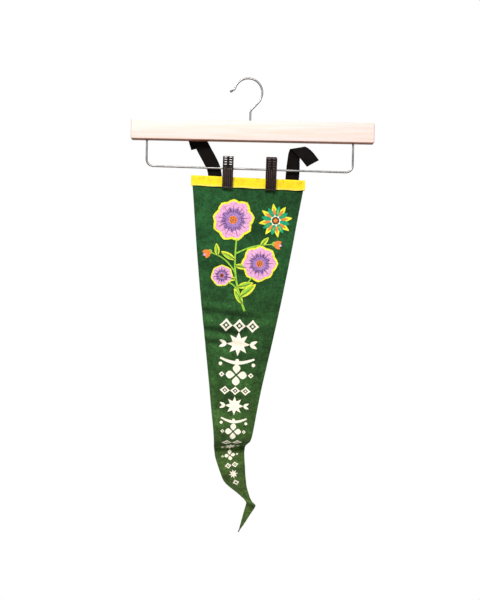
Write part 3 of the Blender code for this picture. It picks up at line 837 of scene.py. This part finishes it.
def cloth_normal(sections, down, across, half_width, creased=False):
    """The way out of a cloth's front face."""
    step = 0.5
    along = cloth_point(sections, down + step, across, half_width, creased)
    along = along - cloth_point(sections, down - step, across, half_width, creased)
    sideways = cloth_point(sections, down, across + step, half_width, creased)
    sideways = sideways - cloth_point(sections, down, across - step, half_width, creased)
    return along.cross(sideways).normalized()


def felt_half_width(down):
    down = max(down, 0.0)
    half = FELT_WIDTH / 2 * (1.0 - down / FELT_LENGTH)
    half += FELT_FULLNESS * math.sin(math.pi * min(down / FULL_TO, 1.0))
    low_share = max(down - LOWER_FULL_FROM, 0.0) / (FELT_LENGTH - LOWER_FULL_FROM)
    half += LOWER_FULLNESS * math.sin(math.pi * low_share)
    return max(half, FELT_POINT / 2)


def finished(shape, name):
    """The object of a finished bmesh."""
    mesh = bpy.data.meshes.new(name)
    shape.to_mesh(mesh)
    shape.free()
    item = bpy.data.objects.new(name, mesh)
    bpy.context.scene.collection.objects.link(item)
    return item


def sheet_piece(name, rows, wall):
    """A sheet through rows of (point, place on the cut), its wall from Solidify about its middle.

    The place is down, across and how far the creases lift it.
    """
    shape = bmesh.new()
    cut = shape.verts.layers.float_vector.new("cut")
    grid = []
    for row in rows:
        grid.append([])
        for point, (down, across, lift) in row:
            vert = shape.verts.new(point * MM)
            vert[cut] = Vector((across, down, lift)) * MM
            grid[-1].append(vert)
    for upper, lower in zip(grid, grid[1:]):
        for index in range(len(upper) - 1):
            shape.faces.new((upper[index], lower[index], lower[index + 1], upper[index + 1]))
    item = finished(shape, name)
    apply_modifier(item, "SOLIDIFY", thickness=wall * MM, offset=0.0, use_even_offset=True)
    smooth(item, 60)
    return item


def hung_sheet(name, sections, pitch, columns, half_at, wall, creased=False):
    """A cloth taken from its flat cut, row by row, to where it hangs."""
    rows = []
    length = sections[-1].down
    row_count = round(length / pitch)
    for number in range(row_count + 1):
        down = length * number / row_count
        half = half_at(down)
        rows.append([])
        for column in range(columns + 1):
            across = half * (2 * column / columns - 1)
            # The lift goes into the cut attribute, which the felt's colour reads for its painted shade
            # and light.
            lift = crease_rise(down, across) if creased else 0.0
            rows[-1].append((cloth_point(sections, down, across, half, creased), (down, across, lift)))
    return sheet_piece(name, rows, wall)


pennant = hung_sheet(
    "green_felt_pennant", FELT_SECTIONS, FELT_ROW, FELT_COLUMNS, felt_half_width, FELT_WALL, True
)

# Wool felt: fibres pressed flat with no weave, so dull, a little fuzzy at grazing light and clouded
# where the dye took unevenly. The lower half is painted paler and yellower, a painted light.
wool_felt, tree, shader = new_material(
    "pressed_wool_felt_green", roughness=0.95, sheen_weight=0.16, sheen_roughness=0.5,
    sheen_tint=srgb("#9fbf86"), specular_ior_level=0.2,
)
FIBRE = 2.2                # the real bundles are half this, too fine to show
CLOUD = 38.0
STREAK = 7.0
place = add_node(tree, "TexCoord")
on_cut = add_node(tree, "Attribute", {"attribute_name": "cut"})
cut_xy = add_node(tree, "SeparateXYZ", links={"Vector": on_cut.outputs["Vector"]})
# Painted light: the green turns paler and yellower from 120 mm down the cut towards the point.
painted_light_down = add_node(
    tree, "MapRange", {"From Min": 0.12, "From Max": 0.5}, {"Value": cut_xy.outputs["Y"]}
)
green_and_light_stops = ((0.0, "#225029"), (0.42, "#315729"), (0.78, "#43602b"), (1.0, "#4d6831"))
green_and_painted_light = add_node(tree, "ValToRGB", {"stops": green_and_light_stops}, {"Fac": painted_light_down})
clouds = add_node(
    tree, "TexNoise", {"Scale": 1 / (CLOUD * MM), "Detail": 5.0, "Roughness": 0.6},
    {"Vector": on_cut.outputs["Vector"]},
)
streaks = add_node(
    tree, "TexNoise", {"Scale": 1 / (STREAK * MM), "Detail": 4.0, "Roughness": 0.65},
    {"Vector": on_cut.outputs["Vector"]},
)
fibres = add_node(
    tree, "TexNoise", {"Scale": 1 / (FIBRE * MM), "Detail": 6.0, "Roughness": 0.75, "Distortion": 1.2},
    {"Vector": place.outputs["Object"]},
)
# The dye clouds, streaks and flecks, then painted light and shade: paler on the crease ridges and
# towards the left, darker in the crease troughs, and a painted shadow under the heading.
# start, end: the source's range. low, high: its shade there.
Shade = namedtuple("Shade", "source start end low high")
SHADES = (
    Shade(clouds, 0.34, 0.66, 0.62, 1.3),
    Shade(streaks, 0.36, 0.64, 0.75, 1.22),
    Shade(fibres, 0.36, 0.64, 0.4, 1.62),
    # Painted shade and light: darker in the crease troughs, paler on the crease ridges.
    Shade(cut_xy.outputs["Z"], -0.002, 0.0015, 0.42, 1.3),
    # Painted light: paler towards the left, where the key lamp stands.
    Shade(cut_xy.outputs["X"], -0.07, 0.07, 1.04, 0.86),
    # Painted shadow: a dark line just under the heading's lower edge.
    Shade(cut_xy.outputs["Y"], 0.0136, 0.0152, 0.3, 1.0),
)
shade = None
for row in SHADES:
    ends = {"From Min": row.start, "From Max": row.end, "To Min": row.low, "To Max": row.high}
    factor = add_node(tree, "MapRange", ends, {"Value": row.source})
    both = {"Value": shade, "Value_001": factor}
    shade = add_node(tree, "Math", {"operation": "MULTIPLY"}, both) if shade else factor
scaled = add_node(tree, "VectorMath", {"operation": "SCALE"}, {"Vector": green_and_painted_light, "Scale": shade})
link(shader, {"Base Color": scaled})
fuzz = add_node(tree, "Bump", {"Strength": 0.75, "Distance": 0.6 * MM}, {"Height": fibres})
link(shader, {"Normal": fuzz})
dress(pennant, wool_felt, "green_felt", "felt_pennant")


# Print on the felt. Opaque inks pulled through a screen, each colour its own thin layer that stands
# a little proud: a spray of three blooms, a sunburst rosette and a column of folk ornaments.
INK_FIRST = 0.18               # how far the first ink stands above the felt
INK_LAYER = 0.09               # and each later one above the one under it
INK_ROOT = 0.12                # how deep the ink has soaked in
INK_COLUMN = 5.0
seeded = random.Random(41)


def around(centre, place, degrees):
    """A point of a motif, given lengthwise and sideways, turned about the motif's centre."""
    turn = math.radians(degrees)
    lengthwise, sideways = place
    return (
        centre[0] + lengthwise * math.sin(turn) + sideways * math.cos(turn),
        centre[1] - lengthwise * math.cos(turn) + sideways * math.sin(turn),
    )


def petal(centre, degrees, start, length, width, fullness=0.8, steps=14):
    """A rounded petal or pointed leaf as one outline; a lower fullness puts its width further in."""
    outline = []
    for hand in (1, -1):
        for step in range(steps):
            t = step / steps if hand > 0 else 1 - step / steps
            broad = width / 2 * math.sin(math.pi * t ** fullness) ** 0.8
            outline.append(around(centre, (start + length * t, hand * broad), degrees))
    return [outline]


def disc(centre, radius, sides=20):
    return [[
        (
            centre[0] + radius * math.cos(2 * math.pi * n / sides),
            centre[1] + radius * math.sin(2 * math.pi * n / sides),
        )
        for n in range(sides)
    ]]


def star(centre, outer, inner, points):
    outline = []
    for n in range(2 * points):
        reach = outer if n % 2 == 0 else inner
        outline.append(around(centre, (reach, 0.0), 180.0 * n / points))
    return [outline]


def ring(outer, inner):
    """The faces between two outlines of as many points."""
    count = len(outer)
    return [[outer[n], outer[(n + 1) % count], inner[(n + 1) % count], inner[n]] for n in range(count)]


def lozenge(centre, half_width, half_height, steps=5, hollow=0.0):
    """A lozenge with gently hollowed sides."""
    corners = [(0, -half_height), (half_width, 0), (0, half_height), (-half_width, 0)]
    outline = []
    for first, second in zip(corners, corners[1:] + corners[:1]):
        for step in range(steps):
            t = step / steps
            draw = 1 - hollow * math.sin(math.pi * t)
            outline.append((
                centre[0] + (first[0] + (second[0] - first[0]) * t) * draw,
                centre[1] + (first[1] + (second[1] - first[1]) * t) * draw,
            ))
    return outline


def strip(points, widths):
    """A tapering strip along points."""
    left, right = [], []
    for index, point in enumerate(points):
        before = points[max(index - 1, 0)]
        after = points[min(index + 1, len(points) - 1)]
        along = (Vector(after) - Vector(before)).normalized()
        off = Vector((-along.y, along.x)) * widths[index] / 2
        left.append(tuple(Vector(point) + off))
        right.append(tuple(Vector(point) - off))
    return [[left[n], left[n + 1], right[n + 1], right[n]] for n in range(len(points) - 1)]


def bowed_strip(start, end, bulge, widths, steps=12):
    """A strip on a bow from start to end, its middle pushed sideways by bulge."""
    start, end = Vector(start), Vector(end)
    across_run = Vector((-(end - start).y, (end - start).x)).normalized()
    points = []
    for step in range(steps + 1):
        t = step / steps
        points.append(tuple(start + (end - start) * t + across_run * bulge * math.sin(math.pi * t)))
    first, middle, last = widths
    sizes = []
    for step in range(steps + 1):
        t = step / steps
        if t < 0.5:
            sizes.append(first + (middle - first) * 2 * t)
        else:
            sizes.append(middle + (last - middle) * (2 * t - 1))
    return strip(points, sizes)


ink = {name: [] for name in ("cream", "lemon", "leaf", "teal", "orange", "pink", "lilac", "maroon")}

# The blooms: yellow-edged pink petals round a lilac heart, with maroon veins.
BLOOMS = (((-19.0, 60.0), 31.0, 9), ((24.0, 122.0), 26.0, 8), ((-30.0, 142.0), 16.0, 7))
for centre, size, count in BLOOMS:
    for number in range(count):
        degrees = 360.0 * number / count + seeded.uniform(-4, 4)
        length = size * seeded.uniform(0.93, 1.05)
        width = 2.3 * size * math.tan(math.pi / count)
        ink["lemon"] += petal(centre, degrees, size * 0.1, length * 0.92, width, 1.35)
        ink["pink"] += petal(centre, degrees - 1.5, size * 0.1, length * 0.82, width * 0.78, 1.3)
        for side in (-0.24, 0.0, 0.24):
            tip = around(centre, (length * (0.78 - abs(side) * 0.7), side * width * 0.9), degrees)
            root = around(centre, (size * 0.36, side * width * 0.3), degrees)
            ink["maroon"] += bowed_strip(root, tip, side * 3, (1.1, 0.8, 0.3), 6)
        between = degrees + 180.0 / count
        ink["lilac"] += petal(centre, between, size * 0.08, size * 0.5, width * 0.5, 1.2)
    ink["orange"] += disc(centre, size * 0.2)
    for number in range(7):
        seed_place = around(centre, (size * 0.12, 0.0), 360.0 * number / 7)
        ink["maroon"] += disc(seed_place, 0.9, 8)
    ink["maroon"] += disc(centre, 1.1, 8)

# The main stem, its branches and leaves, and two buds.
STEM_TOP, STEM_FOOT, STEM_BOW = Vector((-12.0, 88.0)), Vector((6.0, 192.0)), 7.0


def on_stem(share):
    """A point of the main stem, from its top at 0 to its foot at 1."""
    run = STEM_FOOT - STEM_TOP
    sideways = Vector((-run.y, run.x)).normalized()
    return STEM_TOP + run * share + sideways * STEM_BOW * math.sin(math.pi * share)


ink["leaf"] += bowed_strip(STEM_TOP, STEM_FOOT, STEM_BOW, (2.0, 2.6, 3.2), 18)
BRANCHES = (
    (0.84, (20.0, 136.0), -4.0), (0.74, (-27.0, 150.0), 4.0),
    (0.46, (-49.0, 109.0), 5.0), (0.2, (43.0, 93.0), -4.0),
)
for share, end, bulge in BRANCHES:
    ink["leaf"] += bowed_strip(on_stem(share), end, bulge, (2.2, 1.8, 1.3))
LEAVES = (
    (on_stem(0.8), 48.0, 30.0, 11.0), (on_stem(0.9), -30.0, 26.0, 9.0),
    (on_stem(0.66), 72.0, 24.0, 9.0), (on_stem(0.55), -84.0, 22.0, 8.0),
    (on_stem(0.28), -62.0, 24.0, 8.5), (on_stem(0.36), 96.0, 22.0, 8.0),
    (Vector((24.0, 96.0)), 40.0, 17.0, 7.0), (Vector((-38.0, 113.0)), -10.0, 18.0, 7.5),
)
for root, degrees, length, width in LEAVES:
    ink["lemon"] += petal(root, degrees, 0.0, length, width, 0.85)
    ink["leaf"] += petal(root, degrees - 2.0, 1.0, length * 0.86, width * 0.62, 0.85)
    tip = around(root, (length * 0.84, 0.0), degrees)
    ink["maroon"] += bowed_strip(root, tip, 0.5, (1.0, 0.7, 0.3), 6)
for bud, degrees in (((-50.0, 108.5), 240.0), ((44.0, 92.5), 100.0)):
    for turn in (-30, 0, 30):
        ink["orange" if turn else "pink"] += petal(bud, degrees + turn, -2.0, 13.0, 6.5, 1.0)
    ink["leaf"] += petal(bud, degrees, -4.0, 8.0, 7.0, 0.8)

# The rosette: eight teal and eight gold rays round a cream ring.
ROSETTE = (43.5, 58.0)
for number in range(8):
    degrees = 45.0 * number + 11.0
    ink["lemon"] += petal(ROSETTE, degrees + 22.5, 7.0, 18.0, 7.4, 0.7)
    ink["orange"] += petal(ROSETTE, degrees + 22.5, 8.0, 11.0, 3.6, 0.7)
    ink["teal"] += petal(ROSETTE, degrees, 6.0, 15.5, 7.4, 0.75)
    ink["leaf"] += petal(ROSETTE, degrees, 9.0, 8.0, 3.0, 0.75)
ink["cream"] += ring(disc(ROSETTE, 8.6, 32)[0], disc(ROSETTE, 5.6, 32)[0])
ink["orange"] += star(ROSETTE, 4.8, 2.2, 8)

# The cream column: folk ornaments that shrink towards the point, each alike left and right.
def lozenge_ring(centre, size):
    return ring(lozenge(centre, size, size), lozenge(centre, size * 0.42, size * 0.42))


def lozenge_band(down, half_width, half_height, count):
    """A row of open lozenges joined at their corners, a dot in each."""
    each = half_width / count
    for number in range(count):
        centre = (-half_width + each * (2 * number + 1), down)
        outer = lozenge(centre, each, half_height, hollow=0.06)
        inner = lozenge(centre, each * 0.55, half_height * 0.55, hollow=0.06)
        ink["cream"].extend(ring(outer, inner))
        ink["cream"].extend(disc(centre, half_height * 0.2, 12))


def leafy_star(down, size, half_width):
    """An eight-pointed star between two pairs of leaves."""
    ink["cream"].extend(star((0.0, down), size, size * 0.52, 8))
    for hand in (-1, 1):
        root = (hand * size * 0.95, down)
        leaf = half_width - size * 0.95
        ink["cream"].extend(petal(root, hand * 64.0, 0.5, leaf, leaf * 0.42, 0.8))
        ink["cream"].extend(petal(root, hand * 116.0, 0.5, leaf, leaf * 0.42, 0.8))


def four_petals(down, size, half_width):
    """A four-petalled flower with a dot at each side."""
    for number in range(4):
        ink["cream"].extend(
            petal((0.0, down), 90.0 * number, size * 0.12, size * 0.88, size * 0.72, 1.25)
        )
    beside = half_width - size
    for hand in (-1, 1):
        ink["cream"].extend(lozenge_ring((hand * (size + beside * 0.6), down), beside * 0.42))


def garland(down, half_width, drop, thick):
    """A hanging swag with a dot under each end and one in its middle."""
    swag_widths = (thick * 0.5, thick, thick * 0.5)
    ink["cream"].extend(
        bowed_strip((-half_width, down), (half_width, down), drop, swag_widths, 20)
    )
    for hand in (-1, 0, 1):
        below = thick * 1.6 if hand else drop * 0.5
        centre = (hand * half_width * 0.96, down + below)
        ink["cream"].extend(disc(centre, thick * 0.5, 12))


lozenge_band(214.0, 29.0, 9.5, 3)
leafy_star(241.0, 17.5, 28.5)
garland(262.0, 25.0, 6.5, 5.4)
four_petals(286.0, 15.5, 25.0)
lozenge_band(309.0, 22.5, 6.4, 3)
leafy_star(331.0, 13.5, 21.5)
garland(349.0, 18.5, 5.2, 4.4)
four_petals(368.0, 11.5, 18.0)
lozenge_band(386.0, 15.0, 5.0, 2)
leafy_star(402.5, 9.0, 14.0)
four_petals(421.0, 8.0, 12.5)
lozenge_band(436.0, 10.0, 4.0, 2)
ink["cream"] += star((0.0, 449.0), 6.8, 3.2, 8)
ink["cream"] += lozenge_ring((0.0, 463.0), 5.2)


def printed_piece(name, outlines, layer):
    """One ink layer: flat outlines cut on the felt's own rows, laid on its front and given a wall."""
    shape = bmesh.new()
    for outline in outlines:
        shape.faces.new([shape.verts.new((across, down, 0.0)) for across, down in outline])
    shape.normal_update()
    bmesh.ops.triangulate(shape, faces=shape.faces)
    lows = [min(vert.co[axis] for vert in shape.verts) for axis in (0, 1)]
    highs = [max(vert.co[axis] for vert in shape.verts) for axis in (0, 1)]
    for axis, pitch in ((1, FELT_ROW), (0, INK_COLUMN)):
        direction = Vector((1, 0, 0)) if axis == 0 else Vector((0, 1, 0))
        for line in range(math.ceil(lows[axis] / pitch), math.floor(highs[axis] / pitch) + 1):
            everything = [*shape.verts, *shape.edges, *shape.faces]
            bmesh.ops.bisect_plane(
                shape, geom=everything, dist=1e-4,
                plane_co=direction * line * pitch, plane_no=direction,
            )
    bmesh.ops.remove_doubles(shape, verts=shape.verts, dist=0.004)
    bmesh.ops.dissolve_degenerate(shape, edges=shape.edges, dist=0.01)
    cut = shape.verts.layers.float_vector.new("cut")
    proud = FELT_WALL / 2 + INK_FIRST + INK_LAYER * layer
    for vert in shape.verts:
        across, down = vert.co.x, vert.co.y
        half = felt_half_width(down)
        out = cloth_normal(FELT_SECTIONS, down, across, half, True)
        vert[cut] = Vector((across, down, 0.0)) * MM
        vert.co = (cloth_point(FELT_SECTIONS, down, across, half, True) + out * proud) * MM
    shape.normal_update()
    backward = [face for face in shape.faces if face.normal.y > 0]
    bmesh.ops.reverse_faces(shape, faces=backward)
    item = finished(shape, name)
    apply_modifier(item, "SOLIDIFY", thickness=(proud - FELT_WALL / 2 + INK_ROOT) * MM, offset=-1.0)
    return item


# Screen ink on felt: opaque and matt, broken by fibres that stand through it every millimetre or
# so, and a little dirty. Every colour is the same ink with another pigment.
def ink_material(name, deep, pale):
    material, tree, shader = new_material(name, roughness=0.78, specular_ior_level=0.3)
    place = add_node(tree, "TexCoord")
    fibres = add_node(
        tree, "TexNoise", {"Scale": 1 / (FIBRE * MM), "Detail": 5.0, "Roughness": 0.7},
        {"Vector": place.outputs["Object"]},
    )
    colour = add_node(tree, "ValToRGB", {"stops": ((0.28, deep), (0.55, pale))}, {"Fac": fibres})
    link(shader, {"Base Color": colour})
    rough = add_node(tree, "Bump", {"Strength": 0.4, "Distance": 0.25 * MM}, {"Height": fibres})
    link(shader, {"Normal": rough})
    return material


INKS = (
    ("cream", 0, "#d9cfb4", "#fdf6e6"),
    ("lemon", 0, "#b9b52a", "#eeee3c"),
    ("leaf", 1, "#5d9a2c", "#9bd03c"),
    ("teal", 1, "#00704f", "#0ca676"),
    ("pink", 2, "#b25a97", "#ecb4dc"),
    ("lilac", 3, "#6d4a90", "#a783c4"),
    ("orange", 4, "#b9521f", "#f08a3c"),
    ("maroon", 5, "#3b1420", "#5e2030"),
)
for colour, layer, deep, pale in INKS:
    printed = printed_piece("print_" + colour, ink[colour], layer)
    dress(printed, ink_material("screen_ink_" + colour, deep, pale), "green_felt")


# Heading. A strip of soft yellow felt folded over the wide end and sewn through all layers with two
# rows of yellow thread, stained at its top edge and a little curled at its right end.
HEADING_LENGTH = 167.4
HEADING_DROP = 12.9
HEADING_WALL = 1.1
SEAM_GAP = 0.45
HEADING_COLUMNS = 84
RIPPLE_RISES, RIPPLE_RUNS = (0.12, 0.08), (7.3, 2.9)
FRAY_RISE, FRAY_RUN = 0.25, 5.1
CURL, CURL_FROM = 3.0, 66.0    # the right end's lower corner stands forward by this, from here on
BACK_SHIFT = 60.0              # parts the pattern of the back half from the front's
HEADING_AWAY = FELT_WALL / 2 + SEAM_GAP + HEADING_WALL / 2


def heading_profile():
    """The fold around the felt's top edge: distance down and distance behind."""
    drops = [HEADING_DROP * (1 - step / 9) for step in range(9)]
    profile = [(down, -HEADING_AWAY) for down in drops]
    for step in range(13):
        turn = math.pi * step / 12
        profile.append((-HEADING_AWAY * math.sin(turn), -HEADING_AWAY * math.cos(turn)))
    return profile + [(down, HEADING_AWAY) for down in reversed(drops)]


def heading_point(down, across, behind):
    point = cloth_point(FELT_SECTIONS, down, across, FELT_WIDTH / 2)
    out = cloth_normal(FELT_SECTIONS, down, across, FELT_WIDTH / 2)
    rippled = RIPPLE_RISES[0] * math.sin(across / RIPPLE_RUNS[0])
    rippled += RIPPLE_RISES[1] * math.sin(across / RIPPLE_RUNS[1] + down)
    low = max(down, 0.0) / HEADING_DROP
    curl_share = max(0.0, (across - CURL_FROM) / (HEADING_LENGTH / 2 - CURL_FROM))
    curl = CURL * curl_share ** 2 * low if behind < 0 else 0.0
    lifted = curl + abs(rippled) * low * (1 if behind < 0 else -1) - behind
    return point + out * lifted + Vector((0, 0, 0.55 * curl))


heading_rows = []
for down, behind in heading_profile():
    row = []
    for column in range(HEADING_COLUMNS + 1):
        across = HEADING_LENGTH * (column / HEADING_COLUMNS - 0.5)
        frayed = down
        if down == HEADING_DROP:
            frayed += FRAY_RISE * math.sin(across / FRAY_RUN)
        on_strip = down if behind < 0 else down - BACK_SHIFT
        row.append((heading_point(frayed, across, behind), (on_strip, across, 0.0)))
    heading_rows.append(row)
heading_strip = sheet_piece("yellow_heading_strip", heading_rows, HEADING_WALL)

# Brushed yellow felt: bright, soft and slightly uneven, with rust-brown stains along the folded
# edge, and paler towards the lower edge.
yellow_felt, tree, shader = new_material(
    "brushed_felt_yellow", roughness=0.92, sheen_weight=0.15, sheen_tint=srgb("#fff6c0"),
    specular_ior_level=0.2,
)
NAP = 1.1
STAIN = 9.0
place = add_node(tree, "TexCoord")
on_cut = add_node(tree, "Attribute", {"attribute_name": "cut"})
cut_xy = add_node(tree, "SeparateXYZ", links={"Vector": on_cut.outputs["Vector"]})
nap = add_node(
    tree, "TexNoise", {"Scale": 1 / (NAP * MM), "Detail": 5.0, "Roughness": 0.7},
    {"Vector": place.outputs["Object"]},
)
nap_stops = ((0.28, "#dcbc14"), (0.52, "#f4da22"), (0.75, "#fae84c"))
napped = add_node(tree, "ValToRGB", {"stops": nap_stops}, {"Fac": nap})
paler_towards_low_edge = add_node(
    tree, "MapRange", {"From Min": 0.0095, "From Max": 0.0125, "To Max": 0.3},
    {"Value": cut_xy.outputs["Y"]},
)
pale_edge = add_node(
    tree, "Mix", {"data_type": "RGBA", "B_Color": srgb("#fff89c")},
    {"Factor_Float": paler_towards_low_edge, "A_Color": napped},
)
blots = add_node(
    tree, "TexNoise", {"Scale": 1 / (STAIN * MM), "Detail": 3.0, "Roughness": 0.6},
    {"Vector": on_cut.outputs["Vector"]},
)
blotted = add_node(
    tree, "MapRange", {"From Min": 0.5, "From Max": 0.68, "To Max": 0.65}, {"Value": blots}
)
near_top = add_node(
    tree, "MapRange", {"From Min": 0.009, "From Max": 0.0, "To Min": 0.3, "To Max": 1.0},
    {"Value": cut_xy.outputs["Y"]},
)
stain = add_node(
    tree, "Math", {"operation": "MULTIPLY"}, {"Value": blotted, "Value_001": near_top}
)
stained = add_node(
    tree, "Mix", {"data_type": "RGBA", "B_Color": srgb("#dc9412")},
    {"Factor_Float": stain, "A_Color": pale_edge.outputs[2]},
)
link(shader, {"Base Color": stained.outputs[2]})
nap_bump = add_node(tree, "Bump", {"Strength": 0.5, "Distance": 0.3 * MM}, {"Height": nap})
link(shader, {"Normal": nap_bump})
dress(heading_strip, yellow_felt, "yellow_felt", "heading_band")

# The two rows of stitches, each a short bow of twisted thread that dips into the felt at its ends.
STITCH_PITCH = 3.0
STITCH_LENGTH = 2.3
THREAD = 0.5
SEAM_INSET = 2.0               # where the seam stops short of the strip's ends
SEAM_ROWS = (10.9, 2.6)


def stitch_row(name, places):
    """Short thread bows at (middle, along, out) places in millimetres, joined in one mesh."""
    bpy.ops.mesh.primitive_uv_sphere_add(segments=8, ring_count=6, radius=0.5)
    model = bpy.context.object
    model.scale = (STITCH_LENGTH * MM, THREAD * MM, THREAD * MM)
    bpy.ops.object.transform_apply(location=False, rotation=False, scale=True)
    shape = bmesh.new()
    for middle, along, out in places:
        along = along.normalized()
        sideways = out.cross(along).normalized()
        turn = Matrix((along, sideways, out)).transposed().to_4x4()
        before = len(shape.verts)
        shape.from_mesh(model.data)
        shape.verts.ensure_lookup_table()
        bmesh.ops.transform(
            shape, matrix=Matrix.Translation(middle * MM) @ turn, verts=shape.verts[before:]
        )
    bpy.data.objects.remove(model, do_unlink=True)
    item = finished(shape, name)
    smooth(item, 60)
    return item


heading_stitches = []
for behind in (-HEADING_AWAY, HEADING_AWAY):
    for seam in SEAM_ROWS:
        across = -HEADING_LENGTH / 2 + SEAM_INSET
        while across < HEADING_LENGTH / 2 - SEAM_INSET:
            here = heading_point(seam, across, behind)
            beyond = heading_point(seam, across + 1.0, behind)
            out = cloth_normal(FELT_SECTIONS, seam, across, FELT_WIDTH / 2) * (1 if behind < 0 else -1)
            heading_stitches.append((here + out * HEADING_WALL * 0.52, beyond - here, out))
            across += STITCH_PITCH
seam_thread = stitch_row("heading_seam_thread", heading_stitches)

# Cotton sewing thread: soft, matt, its two plies showing as a fine slant.
cotton, tree, shader = new_material("cotton_thread_yellow", roughness=0.85, sheen_weight=0.2)
PLY = 0.5
place = add_node(tree, "TexCoord")
plies = add_node(
    tree, "TexWave", {"Scale": 1 / (PLY * MM) / 20, "Distortion": 1.0, "bands_direction": "DIAGONAL"},
    {"Vector": place.outputs["Object"]},
)
twist_stops = ((0.2, "#dcb92a"), (0.8, "#ffe95e"))
colour = add_node(tree, "ValToRGB", {"stops": twist_stops}, {"Fac": plies.outputs["Fac"]})
link(shader, {"Base Color": colour})
dress(seam_thread, cotton, "yellow_felt")


# Ties. Two lengths of black grosgrain ribbon, 20 mm wide, caught in the back of the heading. The
# left one goes up behind the bar and folds over, the right one stands up and flops forwards.
TIE_WIDTH = 20.0
TIE_WALL = 1.0
TIE_ROW = 1.2
TIE_COLUMNS = 16
TIE_LEFT_SECTIONS = (
    Section(0, -46.3, 2.3, -156.9, 0.0, 3.2, 0.0),
    Section(13, -46.3, 2.6, -144.0, -1.0, 2.4, 0.0),
    Section(28, -48.6, 4.7, -131.0, -17.0, 0.0, 0.0),
    Section(41, -53.9, 7.0, -119.4, -27.0, 0.0, 0.6),
    Section(57, -61.8, 9.4, -105.2, -28.0, 0.0, 1.0),
    Section(72, -68.9, 10.6, -92.0, -28.0, 0.0, 0.5),
    Section(84, -74.6, 10.8, -81.4, -27.0, 0.0, 0.0),
    Section(88, -77.4, 12.6, -78.6, -25.0, 0.0, 0.0),
    Section(92, -78.6, 14.4, -81.6, -22.0, 1.0, 0.0),
    Section(102, -75.9, 14.4, -91.2, -17.5, 2.0, 0.0),
    Section(111, -73.0, 13.6, -99.8, -16.5, 2.0, -0.5),
)
TIE_RIGHT_SECTIONS = (
    Section(0, 66.4, 8.8, -158.6, 2.0, 3.4, 0.0),
    Section(13, 66.9, 6.9, -145.8, 1.0, 2.6, 0.0),
    Section(28, 67.8, 6.2, -131.2, 0.0, -12.0, 0.8),
    Section(45, 68.8, 7.4, -114.4, 0.0, -30.0, 1.5),
    Section(56, 70.6, 6.8, -103.8, -4.0, -22.0, 1.0),
    Section(62, 73.2, 3.0, -98.6, -9.0, -6.0, 0.0),
    Section(68, 77.8, -1.0, -101.4, -19.0, 0.0, 0.0),
    Section(81, 87.0, -5.2, -111.0, -33.0, 0.0, 1.5),
    Section(98, 96.0, -6.8, -122.4, -30.0, 4.0, 2.0),
)


def tie_half_width(down):
    return TIE_WIDTH / 2


left_tie = hung_sheet(
    "left_ribbon_tie", TIE_LEFT_SECTIONS, TIE_ROW, TIE_COLUMNS, tie_half_width, TIE_WALL
)
right_tie = hung_sheet(
    "right_ribbon_tie", TIE_RIGHT_SECTIONS, TIE_ROW, TIE_COLUMNS, tie_half_width, TIE_WALL
)

# Grosgrain: silky black yarn beaten over thick crosswise ribs a millimetre apart, which give it a
# low even gloss, and a firm selvedge down each side.
grosgrain, tree, shader = new_material(
    "black_grosgrain_ribbon", roughness=0.75, specular_ior_level=0.1,
)
RIB_STEP = 1.0
on_cut = add_node(tree, "Attribute", {"attribute_name": "cut"})
cut_xy = add_node(tree, "SeparateXYZ", links={"Vector": on_cut.outputs["Vector"]})
rib_phase = add_node(tree, "Math", {"operation": "MULTIPLY"}, {"Value": cut_xy.outputs["Y"]})
rib_phase.inputs[1].default_value = 2 * math.pi / (RIB_STEP * MM)
rib_wave = add_node(tree, "Math", {"operation": "SINE"}, {"Value": rib_phase})
worn = add_node(tree, "TexNoise", {"Scale": 90.0, "Detail": 6.0}, {"Vector": on_cut.outputs["Vector"]})
colour = add_node(tree, "ValToRGB", {"stops": ((0.35, "#080505"), (0.7, "#130d0c"))}, {"Fac": worn})
link(shader, {"Base Color": colour})
ribs = add_node(tree, "Bump", {"Strength": 0.6, "Distance": 0.25 * MM}, {"Height": rib_wave})
link(shader, {"Normal": ribs})
dress(left_tie, grosgrain, "black_ribbon", "tie_left")
dress(right_tie, grosgrain, "black_ribbon", "tie_right")
